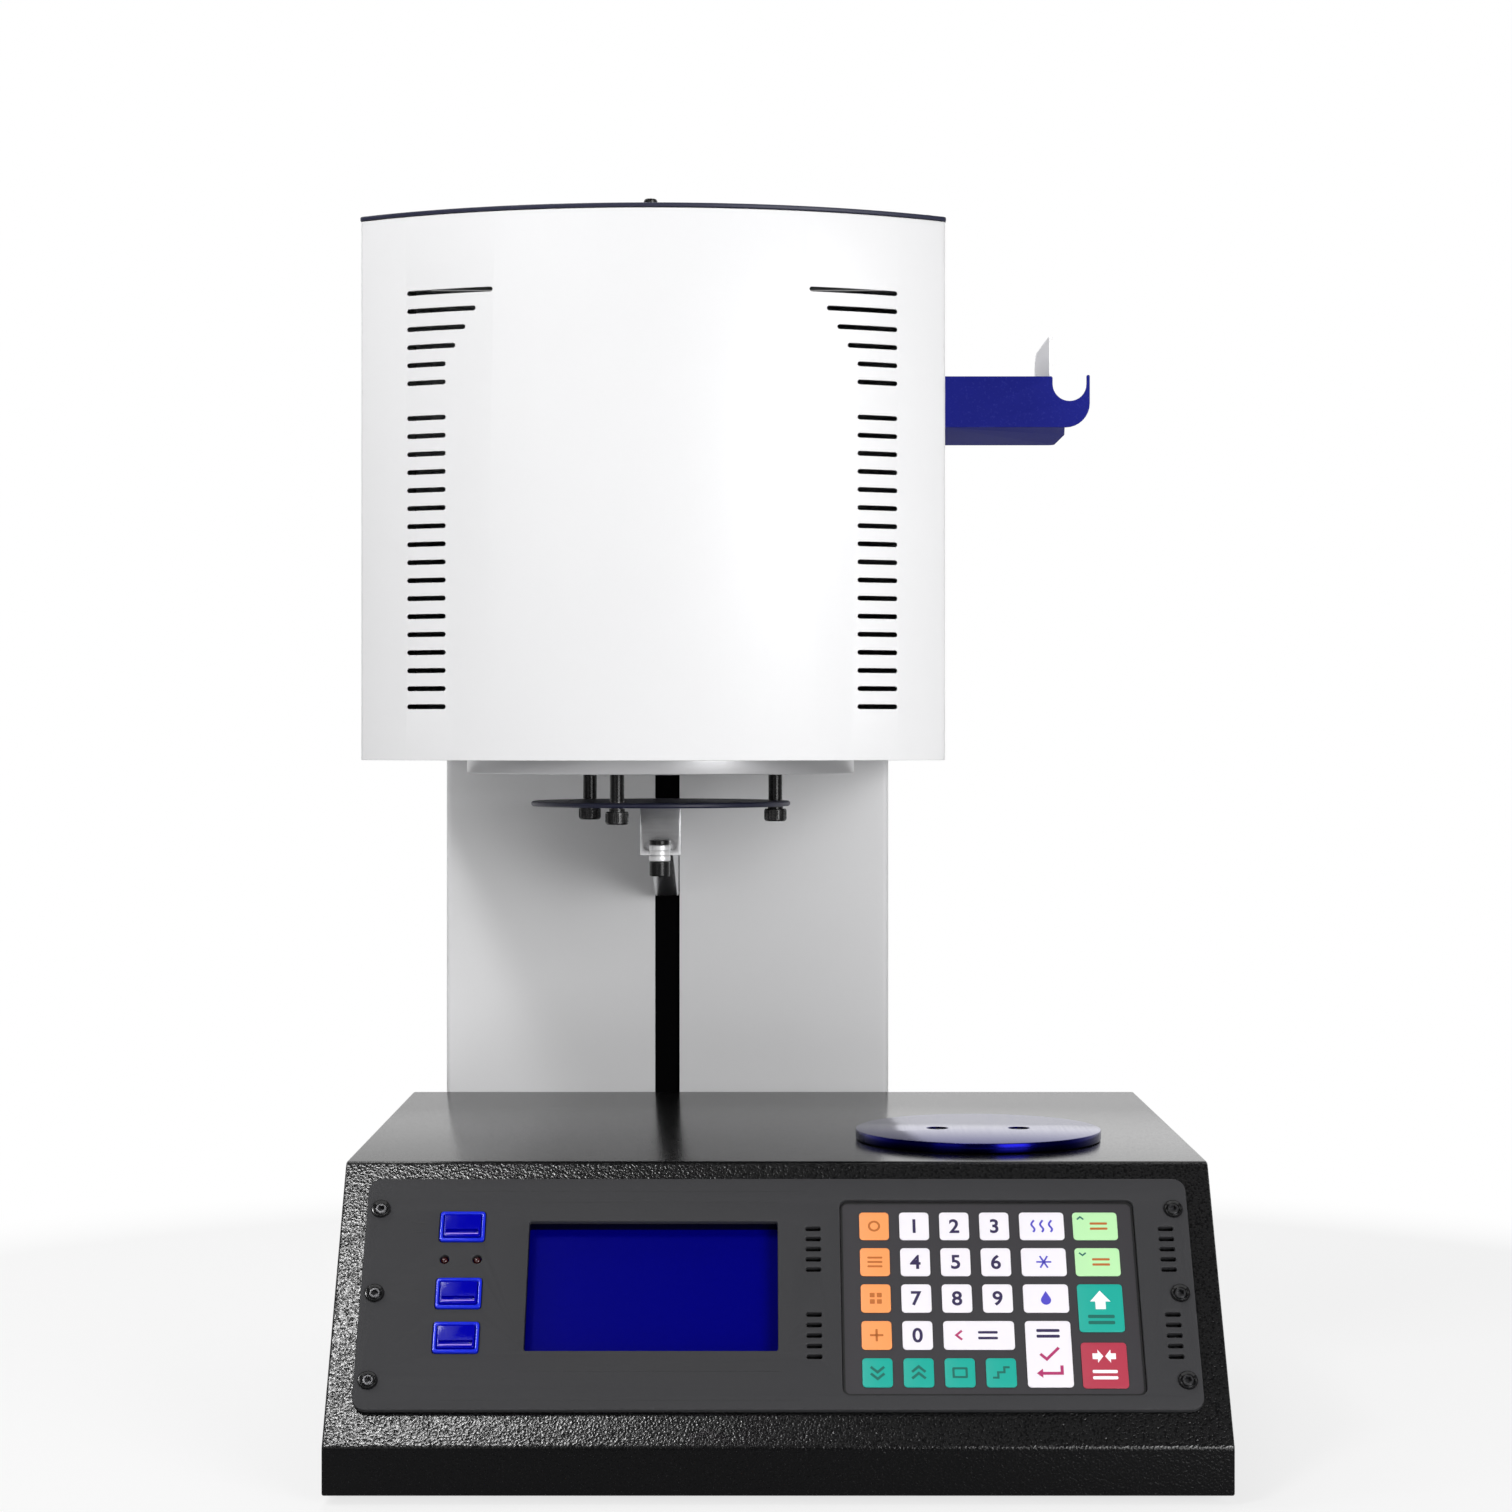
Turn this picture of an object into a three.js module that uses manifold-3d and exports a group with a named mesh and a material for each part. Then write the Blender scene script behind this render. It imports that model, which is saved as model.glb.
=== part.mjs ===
// Bench-top dental laboratory furnace with a lift-up firing table. Millimetres, +Z up, front towards -Y.
// The origin is on the bench, under the middle of the whole furnace's box.
import * as THREE from 'three';
import { mergeVertices } from 'three/addons/utils/BufferGeometryUtils.js';
import Module from 'manifold-3d';

const wasm = await Module();
wasm.setup();

// Clearances shared by all the pieces
const gap = 0.3; // between two separate pieces that seat on each other
const overrun = 3; // how far a cutter runs past the face it cuts

// Base cabinet, with its sloping front
const base = {
  width: 400, height: 135, lipHeight: 21, topDepth: 295, slopeDepth: 85, sheet: 2,
  foldRadius: 4,
};
const floorPlate = { thickness: 2 };
const foot = { height: 4, radius: 10, inset: 30 };

// Rear column that carries the housing and hides the lift
const column = {
  width: 246, depth: 110, height: 560, centreX: -59, sheet: 2, foldRadius: 3,
  slotWidth: 13.6, slotRise: 191,
};
const backCover = {
  sheet: 1.5, ventCount: 9, ventPitch: 14, ventWidth: 90, ventHeight: 4, ventRise: 180,
};

// Furnace housing: a white sheet wrap with a bowed front
const housing = {
  width: 280, depth: 239, bow: 42, height: 258, rise: 186, standoff: 8, sheet: 1.5,
};
const housingFloor = { recess: 5, thickness: 4 };
const topCover = { thickness: 2, overhang: 0.5 };
const coverScrew = { headRadius: 3.2, headHeight: 2.4, edge: 6 };
const vent = {
  height: 2.4, outer: 116.4, inner: 97.2, lowCount: 17, lowRise: 24.2, pitch: 8.55, groupGap: 16.6,
};
const ventInnerEnds = [97.2, 97.2, 92.5, 87.6, 82.6, 74.4];
const spacerBar = { length: 180, height: 20, lowRise: 60, highRise: 190 };

// Firing chamber inside the housing
const flange = { radius: 100, drop: 7.5 };
const can = { radius: 75, wall: 1.5, height: 146 };
const muffle = { radius: 50, wall: 5, height: 90 };
const insulation = { roof: 48 };
const probe = { radius: 2.5, reach: 15, headRadius: 8, headHeight: 12, boreClearance: 0.5 };

// Firing table, hung on the lift arm
const carrier = { radius: 69.7, thickness: 8, recess: 1, rimClearance: 0.6 };
const seal = { radius: 52 };
const sealSides = 6;
const plug = { radius: 43, height: 17.5 };
const tray = { radius: 35, thickness: 8, holeRadius: 3.2, holePitch: 10.5, rings: 2 };
const platform = { radius: 67, thickness: 2.5, drop: 14.5 };
const bolt = {
  circle: 60.4, firstAngleDegrees: -10.4, count: 3, shankRadius: 3, sleeveRadius: 3.6,
  headRadius: 5.7, headHeight: 6.5, washerRadius: 4, washerHeight: 1.5,
};
const arm = {
  headWidth: 21, headHeight: 25, headDepth: 24, webHeight: 52, gussetStart: 10, webClearance: 0.5,
};
const tableReach = 122; // from the column's face forward to the table's axis
const fitting = {
  radius: 5.5, drop: 17, length: 20, neckRadius: 4, ringLength: 7, ringStart: 4, neckLength: 2.2,
};

// Lift drive inside the column
const rod = { radius: 6, spacing: 90, setback: 50 };
const screw = { radius: 5 };
const bearingPlate = { depth: 70, thickness: 10, lowTop: 118, highBottom: 334 };
const carriage = { width: 124, depth: 36 };
const nut = { radius: 11, length: 18, flangeRadius: 16, flangeHeight: 5 };
const motor = { side: 57, height: 76, bossRadius: 19, bossHeight: 1.6 };

// Control fascia on the sloping front. Places on it run right from the middle and down from the top fold.
const fascia = {
  sideMargin: 12, top: 10.8, height: 115, thickness: 3, cornerRadius: 5,
};
const opening = { leftMargin: 22, rightMargin: 2.8, top: 21, bottom: 106 };
const fasciaScrew = {
  edge: 6.5, top: 26.6, pitch: 42.6, headRadius: 4.4, headHeight: 2.2, socketRadius: 1.7,
  socketDepth: 1.4,
};
const display = {
  leftMargin: 74.7, top: 32.8, width: 113.5, height: 64.6, margin: 3.5, glass: 1, sink: 5,
  moduleMargin: 6,
};
const keypad = {
  rightMargin: 24.7, top: 21.8, width: 134.7, height: 97, cornerRadius: 3, thickness: 1.2,
};
const key = {
  leftMargin: 8.9, topMargin: 5.8, width: 13.5, height: 14.1, pitchX: 18.3, pitchY: 18.2,
  rise: 0.5, wide: 20.4, rightMargin: 7.8, startHeight: 23.7, stopMargin: 71, stopHeight: 22.2,
};
const button = {
  edge: 44.3, width: 20.5, height: 15, frame: 1.6, cornerRadius: 1.4, frameRise: 1,
  capRise: 1.6, capDepth: 6, travel: 2.5, slide: 0.25, bezelThickness: 2, bezelMargin: 3,
};
const buttonTops = [28.2, 61.8, 83.6];
const led = { spacing: 14.8, top: 52.1, radius: 1.7, rise: 0.4, holeClearance: 0.4, carrier: 2 };
const grille = {
  displayGap: 12.6, edge: 14.2, lowTop: 78.5, highTop: 35.5, count: 5, pitch: 5.15, width: 7, height: 1.9,
};
const board = {
  sideMargin: 10, top: 12, height: 110, thickness: 1.6, setback: 12.7, postRadius: 3, postInset: 6,
};

// Things on and in the base
const coolingPlate = {
  radius: 60, thickness: 5, centreX: 99.2, setback: 84, holeSpacing: 40, holeRadius: 5,
};
const plateScrew = { radius: 4.6, sink: 0.8 };
const inlet = {
  edge: 68, rise: 62, flangeWidth: 32, flangeHeight: 58, flange: 2.5, bodyWidth: 27, bodyHeight: 50,
  bodyDepth: 26, socketWidth: 24, socketHeight: 16, socketDepth: 17, socketRise: 14, pinReach: 10,
  pinWidth: 2, pinHeight: 4, pinSpacing: 7,
};
const rocker = {
  wellWidth: 14, wellHeight: 21, wellDepth: 12, drop: 13, clearance: 0.6, thickness: 6, proud: 2.4,
  tiltDegrees: 8,
};
const outlet = {
  edge: 22, rise: 96, flangeRadius: 9, flange: 4, barbRadius: 4.2, barbNeck: 3.4, reach: 18, bore: 1.8,
  thread: 12,
};
const transformer = { radius: 55, bore: 20, height: 50, centreX: -95, setback: 110, foldRadius: 12 };

// Tool holder on the housing's right side
const holder = {
  sheet: 2, webHeight: 25.5, webLength: 76, prongWidth: 1.6, prongHeight: 26.2, notchRadius: 8.5,
  notchDepth: 13, heelRadius: 12, shelfLength: 66, shelfDepth: 100, shelfRadius: 12, mountHeight: 166,
  frontOffset: 180,
};
const endPlate = { sheet: 1.5, height: 46, frontRadius: 3, rearRadius: 14 };
const holderScrew = { headRadius: 4, headHeight: 2.4, count: 2, fromFront: 22, pitch: 56 };

// Places worked out from the sizes above
const depthOverall = base.slopeDepth + base.topDepth + column.depth;
const yFront = -depthOverall / 2;
const yTopFold = yFront + base.slopeDepth;
const yColumn = yTopFold + base.topDepth;
const yBack = yColumn + column.depth;
const yRearWall = yColumn - gap;
const fasciaWidth = base.width - 2 * fascia.sideMargin;
const fasciaSide = fasciaWidth / 2;
const displayLeft = display.leftMargin - fasciaSide;
const displayRight = displayLeft + display.width;
const keypadLeft = fasciaSide - keypad.rightMargin - keypad.width;
const buttonMiddle = button.edge - fasciaSide;
const inletX = base.width / 2 - inlet.edge;
const outletX = base.width / 2 - outlet.edge;
const zBase = foot.height;
const zPlate = zBase + floorPlate.thickness;
const zLip = zBase + base.lipHeight;
const zTop = zBase + base.height;
const slopeHeight = base.height - base.lipHeight;
const slopeLength = Math.hypot(base.slopeDepth, slopeHeight);
const slopeAngle = Math.atan2(slopeHeight, base.slopeDepth);
const zHousing = zTop + housing.rise;
const zHousingTop = zHousing + housing.height;
const yHousingBack = yColumn - housing.standoff;
const yHousingFront = yHousingBack - housing.depth;
const yAxis = yColumn - tableReach;
const bowRadius = ((housing.width / 2) ** 2 + housing.bow ** 2) / (2 * housing.bow);
const zFloorUnder = zHousing + housingFloor.recess;
const zFloorTop = zFloorUnder + housingFloor.thickness;
const zFlange = zHousing - flange.drop;
const zCarrier = zFlange + carrier.recess;
const zCarrierTop = zCarrier + carrier.thickness;
const zPlatformTop = zFlange - platform.drop;
const zPlatform = zPlatformTop - platform.thickness;
const zArmTop = zPlatform - gap;
const zArmLow = zArmTop - arm.webHeight;
const yRod = yColumn + rod.setback;
const yCarriageFront = yRod - carriage.depth / 2;
const halfColumn = column.width / 2;
const columnInner = halfColumn - column.sheet;
const zColumnTop = zBase + column.height;

// Turns a placed three.js geometry into a closed solid, with its faces pointing out
function toSolid(geometry) {
  const bare = geometry.clone();
  bare.deleteAttribute('normal');
  bare.deleteAttribute('uv');
  const merged = mergeVertices(bare);
  const corners = merged.index.array;
  const points = merged.attributes.position.array;
  const kept = [];
  let volume = 0;
  for (let i = 0; i < corners.length; i += 3) {
    const [a, b, c] = [corners[i], corners[i + 1], corners[i + 2]];
    if (a === b || b === c || c === a) continue;
    kept.push(a, b, c);
    const [pa, pb, pc] = [a, b, c].map((corner) => new THREE.Vector3().fromArray(points, corner * 3));
    volume += pa.dot(pb.cross(pc));
  }
  if (volume < 0) kept.reverse();
  return new wasm.Manifold(new wasm.Mesh({
    numProp: 3, vertProperties: new Float32Array(points), triVerts: new Uint32Array(kept),
  }));
}

function toGeometry(solid) {
  const mesh = solid.getMesh();
  const geometry = new THREE.BufferGeometry();
  geometry.setAttribute('position', new THREE.BufferAttribute(new Float32Array(mesh.vertProperties), 3));
  geometry.setIndex(new THREE.BufferAttribute(new Uint32Array(mesh.triVerts), 1));
  geometry.computeVertexNormals();
  return geometry;
}

const joined = (geometries) => toGeometry(geometries.map(toSolid).reduce((all, next) => all.add(next)));

function cut(body, tools) {
  const all = tools.map(toSolid).reduce((sum, next) => sum.add(next));
  return toGeometry(toSolid(body).subtract(all));
}

const box = (x0, x1, y0, y1, z0, z1) => new THREE.BoxGeometry(x1 - x0, y1 - y0, z1 - z0)
  .translate((x0 + x1) / 2, (y0 + y1) / 2, (z0 + z1) / 2);

const disc = (radius, x, y, z0, z1, sides = 32) => new THREE.CylinderGeometry(
  radius, radius, z1 - z0, sides,
).rotateX(Math.PI / 2).translate(x, y, (z0 + z1) / 2);

// Revolves [radius, height] points about a vertical axis at x, y
const turned = (profile, x, y, sides = 32) => new THREE.LatheGeometry(
  profile.map(([r, z]) => new THREE.Vector2(r, z)), sides,
).rotateX(Math.PI / 2).translate(x, y, 0);

const ringProfile = (inner, outer, z0, z1) => [
  [inner, z0], [outer, z0], [outer, z1], [inner, z1], [inner, z0],
];

// A polygon whose corners are rounded where they have a radius
function filleted(corners) {
  const shape = new THREE.Shape();
  corners.forEach(([x, y, radius = 0], i) => {
    const here = new THREE.Vector2(x, y);
    const before = new THREE.Vector2(...corners.at(i - 1).slice(0, 2));
    const after = new THREE.Vector2(...corners[(i + 1) % corners.length].slice(0, 2));
    const start = before.sub(here).setLength(radius).add(here);
    const end = after.sub(here).setLength(radius).add(here);
    if (i === 0) shape.moveTo(start.x, start.y);
    else shape.lineTo(start.x, start.y);
    if (radius) shape.quadraticCurveTo(here.x, here.y, end.x, end.y);
  });
  shape.closePath();
  return shape;
}

const slab = (shape, z0, z1, curveSegments = 4) => new THREE.ExtrudeGeometry(shape, {
  depth: z1 - z0, bevelEnabled: false, curveSegments,
}).translate(0, 0, z0);

const roundedBox = (x0, x1, y0, y1, z0, z1, radius) => slab(filleted([
  [x0, y0, radius], [x1, y0, radius], [x1, y1, radius], [x0, y1, radius],
]), z0, z1, 3);

// Side views are drawn as [y, z] and stand across X
const acrossX = new THREE.Matrix4().makeBasis(
  new THREE.Vector3(0, 1, 0), new THREE.Vector3(0, 0, 1), new THREE.Vector3(1, 0, 0),
);
const sideView = (shape, x0, x1, curveSegments = 4) => slab(
  shape, x0, x1, curveSegments,
).applyMatrix4(acrossX);

// Front views are drawn as [x, z] and run back along Y
const frontView = (shape, y0, y1, curveSegments = 6) => slab(
  shape, -y1, -y0, curveSegments,
).rotateX(Math.PI / 2);

// A turned piece whose axis runs back along +Y from y
const turnedBack = (profile, x, y, z, sides = 24) => new THREE.LatheGeometry(
  profile.map(([r, along]) => new THREE.Vector2(r, along)), sides,
).translate(x, y, z);

const finishes = {
  blackPowder: { color: 0x1c1c1d, roughness: 0.6, metalness: 0.1 },
  fasciaGrey: { color: 0x434344, roughness: 0.55, metalness: 0.1 },
  whitePowder: { color: 0xf1f1f1, roughness: 0.45, metalness: 0 },
  navyPowder: { color: 0x12152c, roughness: 0.5, metalness: 0.1 },
  bluePowder: { color: 0x1b1f86, roughness: 0.45, metalness: 0.1 },
  blueAnodised: { color: 0x2d2b9a, roughness: 0.3, metalness: 0.8 },
  aluminium: { color: 0xc9c9cb, roughness: 0.3, metalness: 1 },
  steel: { color: 0x9c9da0, roughness: 0.35, metalness: 1 },
  blackSteel: { color: 0x1a1a1a, roughness: 0.45, metalness: 0.7 },
  paleSteel: { color: 0xd0d1d2, roughness: 0.4, metalness: 0.6 },
  rubber: { color: 0x161616, roughness: 0.9, metalness: 0 },
  sealRubber: { color: 0x8c2f22, roughness: 0.8, metalness: 0 },
  blackPlastic: { color: 0x101012, roughness: 0.5, metalness: 0 },
  bluePlastic: { color: 0x0a10c8, roughness: 0.25, metalness: 0 },
  displayBlue: { color: 0x05008c, roughness: 0.15, metalness: 0 },
  keyWhite: { color: 0xf4eef6, roughness: 0.5, metalness: 0 },
  keyOrange: { color: 0xff9b57, roughness: 0.5, metalness: 0 },
  keyTeal: { color: 0x12b5a0, roughness: 0.5, metalness: 0 },
  keyGreen: { color: 0xb4f59c, roughness: 0.5, metalness: 0 },
  keyRed: { color: 0xad3145, roughness: 0.5, metalness: 0 },
  ledRed: { color: 0x5a0c14, roughness: 0.2, metalness: 0 },
  overlay: { color: 0x3d3a42, roughness: 0.6, metalness: 0 },
  circuitGreen: { color: 0x0f5a34, roughness: 0.5, metalness: 0 },
  copper: { color: 0xb06a35, roughness: 0.4, metalness: 0.8 },
  fibre: { color: 0xf3efe6, roughness: 0.95, metalness: 0 },
  quartz: { color: 0xe6e3dc, roughness: 0.3, metalness: 0 },
  ceramic: { color: 0xe9dcc6, roughness: 0.7, metalness: 0 },
};

const furnace = new THREE.Group();
const panel = new THREE.Group();
panel.position.set(0, yFront, zLip);
panel.rotation.x = slopeAngle;
furnace.add(panel);
const panelMatrix = new THREE.Matrix4().makeRotationX(slopeAngle).setPosition(0, yFront, zLip);

function add(parent, name, geometry, finish) {
  const material = new THREE.MeshStandardMaterial(finishes[finish]);
  const mesh = new THREE.Mesh(toGeometry(toSolid(geometry)), material);
  mesh.name = name;
  parent.add(mesh);
  return mesh;
}

// Base cabinet: floor plate, feet and the folded shell
function addFloorPlate() {
  const halfBase = base.width / 2 - base.sheet - gap;
  const halfColumn = column.width / 2 - column.sheet - gap;
  const front = yFront + base.sheet + gap;
  const rear = yBack - backCover.sheet - gap;
  const outline = filleted([
    [-halfBase, front], [halfBase, front], [halfBase, yRearWall], [column.centreX + halfColumn, yRearWall],
    [column.centreX + halfColumn, rear], [column.centreX - halfColumn, rear],
    [column.centreX - halfColumn, yRearWall], [-halfBase, yRearWall],
  ]);
  add(furnace, 'bottom_plate', slab(outline, zBase, zPlate), 'steel');
}

function addFeet() {
  const side = base.width / 2 - foot.inset;
  const rearSide = halfColumn - foot.inset;
  const places = [
    [-side, yFront + foot.inset], [side, yFront + foot.inset],
    [column.centreX - rearSide, yBack - foot.inset], [column.centreX + rearSide, yBack - foot.inset],
  ];
  places.forEach(([x, y], i) => {
    add(furnace, `rubber_foot_${i + 1}`, disc(foot.radius, x, y, 0, foot.height, 20), 'rubber');
  });
}

function addBaseShell() {
  const outline = filleted([
    [yFront, zBase], [yRearWall, zBase], [yRearWall, zTop, base.sheet],
    [yTopFold, zTop, base.foldRadius], [yFront, zLip, base.foldRadius],
  ]);
  const halfWidth = base.width / 2;
  const outer = sideView(outline, -halfWidth, halfWidth);
  const sheet = base.sheet;
  const innerFoot = zLip - sheet * Math.cos(slopeAngle)
    + sheet * (1 - Math.sin(slopeAngle)) * Math.tan(slopeAngle);
  const innerTop = yFront + sheet * Math.sin(slopeAngle)
    + (zTop - sheet - zLip + sheet * Math.cos(slopeAngle)) / Math.tan(slopeAngle);
  const cavity = sideView(filleted([
    [yFront + sheet, zBase - overrun], [yRearWall - sheet, zBase - overrun],
    [yRearWall - sheet, zTop - sheet], [innerTop, zTop - sheet], [yFront + sheet, innerFoot],
  ]), sheet - halfWidth, halfWidth - sheet);
  const front = box(
    opening.leftMargin - fasciaSide, displayRight + display.moduleMargin + opening.rightMargin,
    slopeLength - opening.bottom, slopeLength - opening.top, -sheet - overrun, overrun,
  ).applyMatrix4(panelMatrix);
  const plateRelief = box(
    sheet - halfWidth, halfWidth - sheet, yRearWall - sheet - overrun, yRearWall + overrun,
    zBase - overrun, zPlate + gap,
  );
  const inletHole = box(
    inletX - inlet.bodyWidth / 2 - gap, inletX + inlet.bodyWidth / 2 + gap,
    yRearWall - sheet - overrun, yRearWall + overrun,
    zBase + inlet.rise - inlet.bodyHeight / 2 - gap, zBase + inlet.rise + inlet.bodyHeight / 2 + gap,
  );
  const outletHole = turnedBack([
    [0, -sheet - overrun], [outlet.barbRadius + gap, -sheet - overrun],
    [outlet.barbRadius + gap, overrun], [0, overrun],
  ], outletX, yRearWall, zBase + outlet.rise);
  add(furnace, 'base_shell', cut(outer, [cavity, front, plateRelief, inletHole, outletHole]), 'blackPowder');
}

// Control fascia: everything below is drawn in the panel's own frame, [right, up the slope, out]
const up = (down) => slopeLength - down;
const fasciaFoot = gap;
const fasciaFace = fasciaFoot + fascia.thickness;
const panelBox = (left, top, width, height, n0, n1, radius) => roundedBox(
  left, left + width, up(top + height), up(top), n0, n1, radius,
);

function screwPlaces() {
  const places = [];
  for (const side of [-1, 1]) {
    for (let row = 0; row < 3; row += 1) {
      places.push([side * (fasciaSide - fasciaScrew.edge), up(fasciaScrew.top + row * fasciaScrew.pitch)]);
    }
  }
  return places;
}

const ledPlaces = () => [-1, 1].map((side) => buttonMiddle + (side * led.spacing) / 2);

function addFascia() {
  const plate = panelBox(
    -fasciaSide, fascia.top, fasciaWidth, fascia.height, fasciaFoot, fasciaFace, fascia.cornerRadius,
  );
  const below = fasciaFoot - overrun;
  const above = fasciaFace + overrun;
  const cutters = [
    box(displayLeft, displayRight, up(display.top + display.height), up(display.top), below, above),
    panelBox(keypadLeft, keypad.top, keypad.width, keypad.height, below, above, keypad.cornerRadius),
  ];
  for (const top of buttonTops) {
    cutters.push(panelBox(
      buttonMiddle - button.width / 2 - gap, top - gap, button.width + 2 * gap, button.height + 2 * gap,
      below, above, button.cornerRadius,
    ));
  }
  const ledHole = led.radius + led.holeClearance;
  for (const x of ledPlaces()) cutters.push(disc(ledHole, x, up(led.top), below, above, 16));
  for (const left of [displayRight + grille.displayGap, fasciaSide - grille.edge]) {
    for (const top of [grille.highTop, grille.lowTop]) {
      for (let i = 0; i < grille.count; i += 1) {
        const down = top + i * grille.pitch;
        cutters.push(box(left, left + grille.width, up(down + grille.height), up(down), below, above));
      }
    }
  }
  add(panel, 'control_fascia', cut(plate, cutters), 'fasciaGrey');
  const seat = fasciaFace + gap;
  const top = seat + fasciaScrew.headHeight;
  const floor = top - fasciaScrew.socketDepth;
  const middle = seat + fasciaScrew.headHeight / 2;
  const crown = fasciaScrew.headRadius - fasciaScrew.headHeight / 2;
  screwPlaces().forEach(([x, y], i) => {
    add(panel, `fascia_screw_${i + 1}`, turned([
      [0, seat], [fasciaScrew.headRadius, seat], [fasciaScrew.headRadius, middle], [crown, top],
      [fasciaScrew.socketRadius, top], [fasciaScrew.socketRadius, floor], [0, floor],
    ], x, y, 16), 'blackSteel');
  });
}

const boardTop = -board.setback;
const boardSide = fasciaSide - board.sideMargin;
const bezelTop = fasciaFoot - gap;
const glassTop = bezelTop - display.sink;

function addDisplay() {
  const { top, height, margin } = display;
  const frame = box(
    displayLeft - margin, displayRight + margin, up(top + height + margin), up(top - margin),
    glassTop - display.glass, bezelTop,
  );
  const view = box(displayLeft, displayRight, up(top + height), up(top), glassTop, bezelTop + overrun);
  add(panel, 'lcd_glass', cut(frame, [view]), 'displayBlue');
}

const overlayTop = fasciaFoot + keypad.thickness;

function keyPad(left, top, width = key.width, height = key.height) {
  return box(left, left + width, up(top + height), up(top), fasciaFoot, overlayTop + key.rise);
}

// Membrane keypad: one sheet with the keys embossed in it, stuck on the cabinet's slope
function addKeypad() {
  const sheet = panelBox(
    keypadLeft + gap, keypad.top + gap, keypad.width - 2 * gap, keypad.height - 2 * gap,
    fasciaFoot, overlayTop, keypad.cornerRadius,
  );
  const columnLeft = (i) => keypadLeft + key.leftMargin + i * key.pitchX;
  const rowTop = (i) => keypad.top + key.topMargin + i * key.pitchY;
  const lastLeft = keypadLeft + keypad.width - key.rightMargin - key.wide;
  const keys = [];
  for (let i = 0; i <= 3; i += 1) {
    for (let j = 0; j < 3; j += 1) keys.push(keyPad(columnLeft(i), rowTop(j)));
    keys.push(keyPad(columnLeft(i), rowTop(4)));
  }
  keys.push(keyPad(columnLeft(0), rowTop(3)));
  keys.push(keyPad(columnLeft(1), rowTop(3)));
  keys.push(keyPad(columnLeft(2), rowTop(3), key.width + key.pitchX));
  for (let j = 0; j < 3; j += 1) keys.push(keyPad(columnLeft(4), rowTop(j), key.wide));
  keys.push(keyPad(columnLeft(4), rowTop(3), key.wide, key.height + key.pitchY));
  for (let j = 0; j < 2; j += 1) keys.push(keyPad(lastLeft, rowTop(j), key.wide));
  keys.push(keyPad(lastLeft, rowTop(2), key.wide, key.startHeight));
  keys.push(keyPad(lastLeft, keypad.top + key.stopMargin, key.wide, key.stopHeight));
  add(panel, 'keypad_overlay', joined([sheet, ...keys]), 'overlay');
}

const bezelFoot = bezelTop - button.bezelThickness;
const capFoot = fasciaFace - button.capDepth;

function addButtons() {
  const left = buttonMiddle - button.width / 2;
  const names = ['upper_push_button', 'middle_push_button', 'lower_push_button'];
  const inset = button.frame + button.slide;
  const inner = (top, n0, n1) => panelBox(
    left + button.frame, top + button.frame, button.width - 2 * button.frame,
    button.height - 2 * button.frame, n0, n1, button.cornerRadius / 2,
  );
  const frames = buttonTops.map((top, i) => {
    add(panel, names[i], panelBox(
      left + inset, top + inset, button.width - 2 * inset, button.height - 2 * inset,
      capFoot, fasciaFace + button.capRise, button.cornerRadius / 2,
    ), 'bluePlastic');
    return panelBox(
      left, top, button.width, button.height, bezelFoot, fasciaFace + button.frameRise, button.cornerRadius,
    );
  });
  // one moulding behind the fascia carries the three frames
  const last = buttonTops.at(-1) + button.height;
  const strip = panelBox(
    left - button.bezelMargin, buttonTops[0] - button.bezelMargin, button.width + 2 * button.bezelMargin,
    last - buttonTops[0] + 2 * button.bezelMargin, bezelFoot, bezelTop, button.cornerRadius,
  );
  const holes = buttonTops.map((top) => inner(top, bezelFoot - overrun, fasciaFace + overrun));
  const ledHoles = ledPlaces().map((x) => disc(
    led.radius + led.holeClearance, x, up(led.top), bezelFoot - overrun, bezelTop + overrun, 16,
  ));
  add(panel, 'button_bezel', cut(joined([strip, ...frames]), [...holes, ...ledHoles]), 'bluePlastic');
}

// Circuit board behind the slope, with the display module, the switches and the posts it hangs on
function addBoard() {
  const inBoard = boardTop - board.thickness / 2;
  const switches = buttonTops.map((top) => {
    const middle = up(top + button.height / 2);
    const half = button.height / 2 - button.frame;
    return box(
      buttonMiddle - half, buttonMiddle + half, middle - half, middle + half,
      inBoard, capFoot - button.travel - gap,
    );
  });
  const plate = box(
    -boardSide, boardSide, up(board.top + board.height), up(board.top),
    boardTop - board.thickness, boardTop,
  );
  const { top, height, moduleMargin } = display;
  const module = box(
    displayLeft - moduleMargin, displayRight + moduleMargin, up(top + height + moduleMargin),
    up(top - moduleMargin), inBoard, glassTop - display.glass - gap,
  );
  const posts = [];
  for (const side of [-1, 1]) {
    for (const down of [board.top + board.postInset, board.top + board.height - board.postInset]) {
      const x = side * (boardSide - board.postInset);
      posts.push(disc(board.postRadius, x, up(down), inBoard, -base.sheet - gap, 12));
    }
  }
  add(panel, 'control_board', joined([plate, module, ...switches, ...posts]), 'circuitGreen');
  const carrierStrip = box(
    buttonMiddle - led.spacing / 2 - led.radius, buttonMiddle + led.spacing / 2 + led.radius,
    up(led.top) - led.radius, up(led.top) + led.radius, boardTop + gap, boardTop + gap + led.carrier,
  );
  const domes = ledPlaces().map((x) => turned([
    [0, boardTop + led.carrier], [led.radius, boardTop + led.carrier], [led.radius, fasciaFace],
    [led.radius / 2, fasciaFace + led.rise], [0, fasciaFace + led.rise],
  ], x, up(led.top), 12));
  add(panel, 'indicator_leds', joined([carrierStrip, ...domes]), 'ledRed');
}

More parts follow.
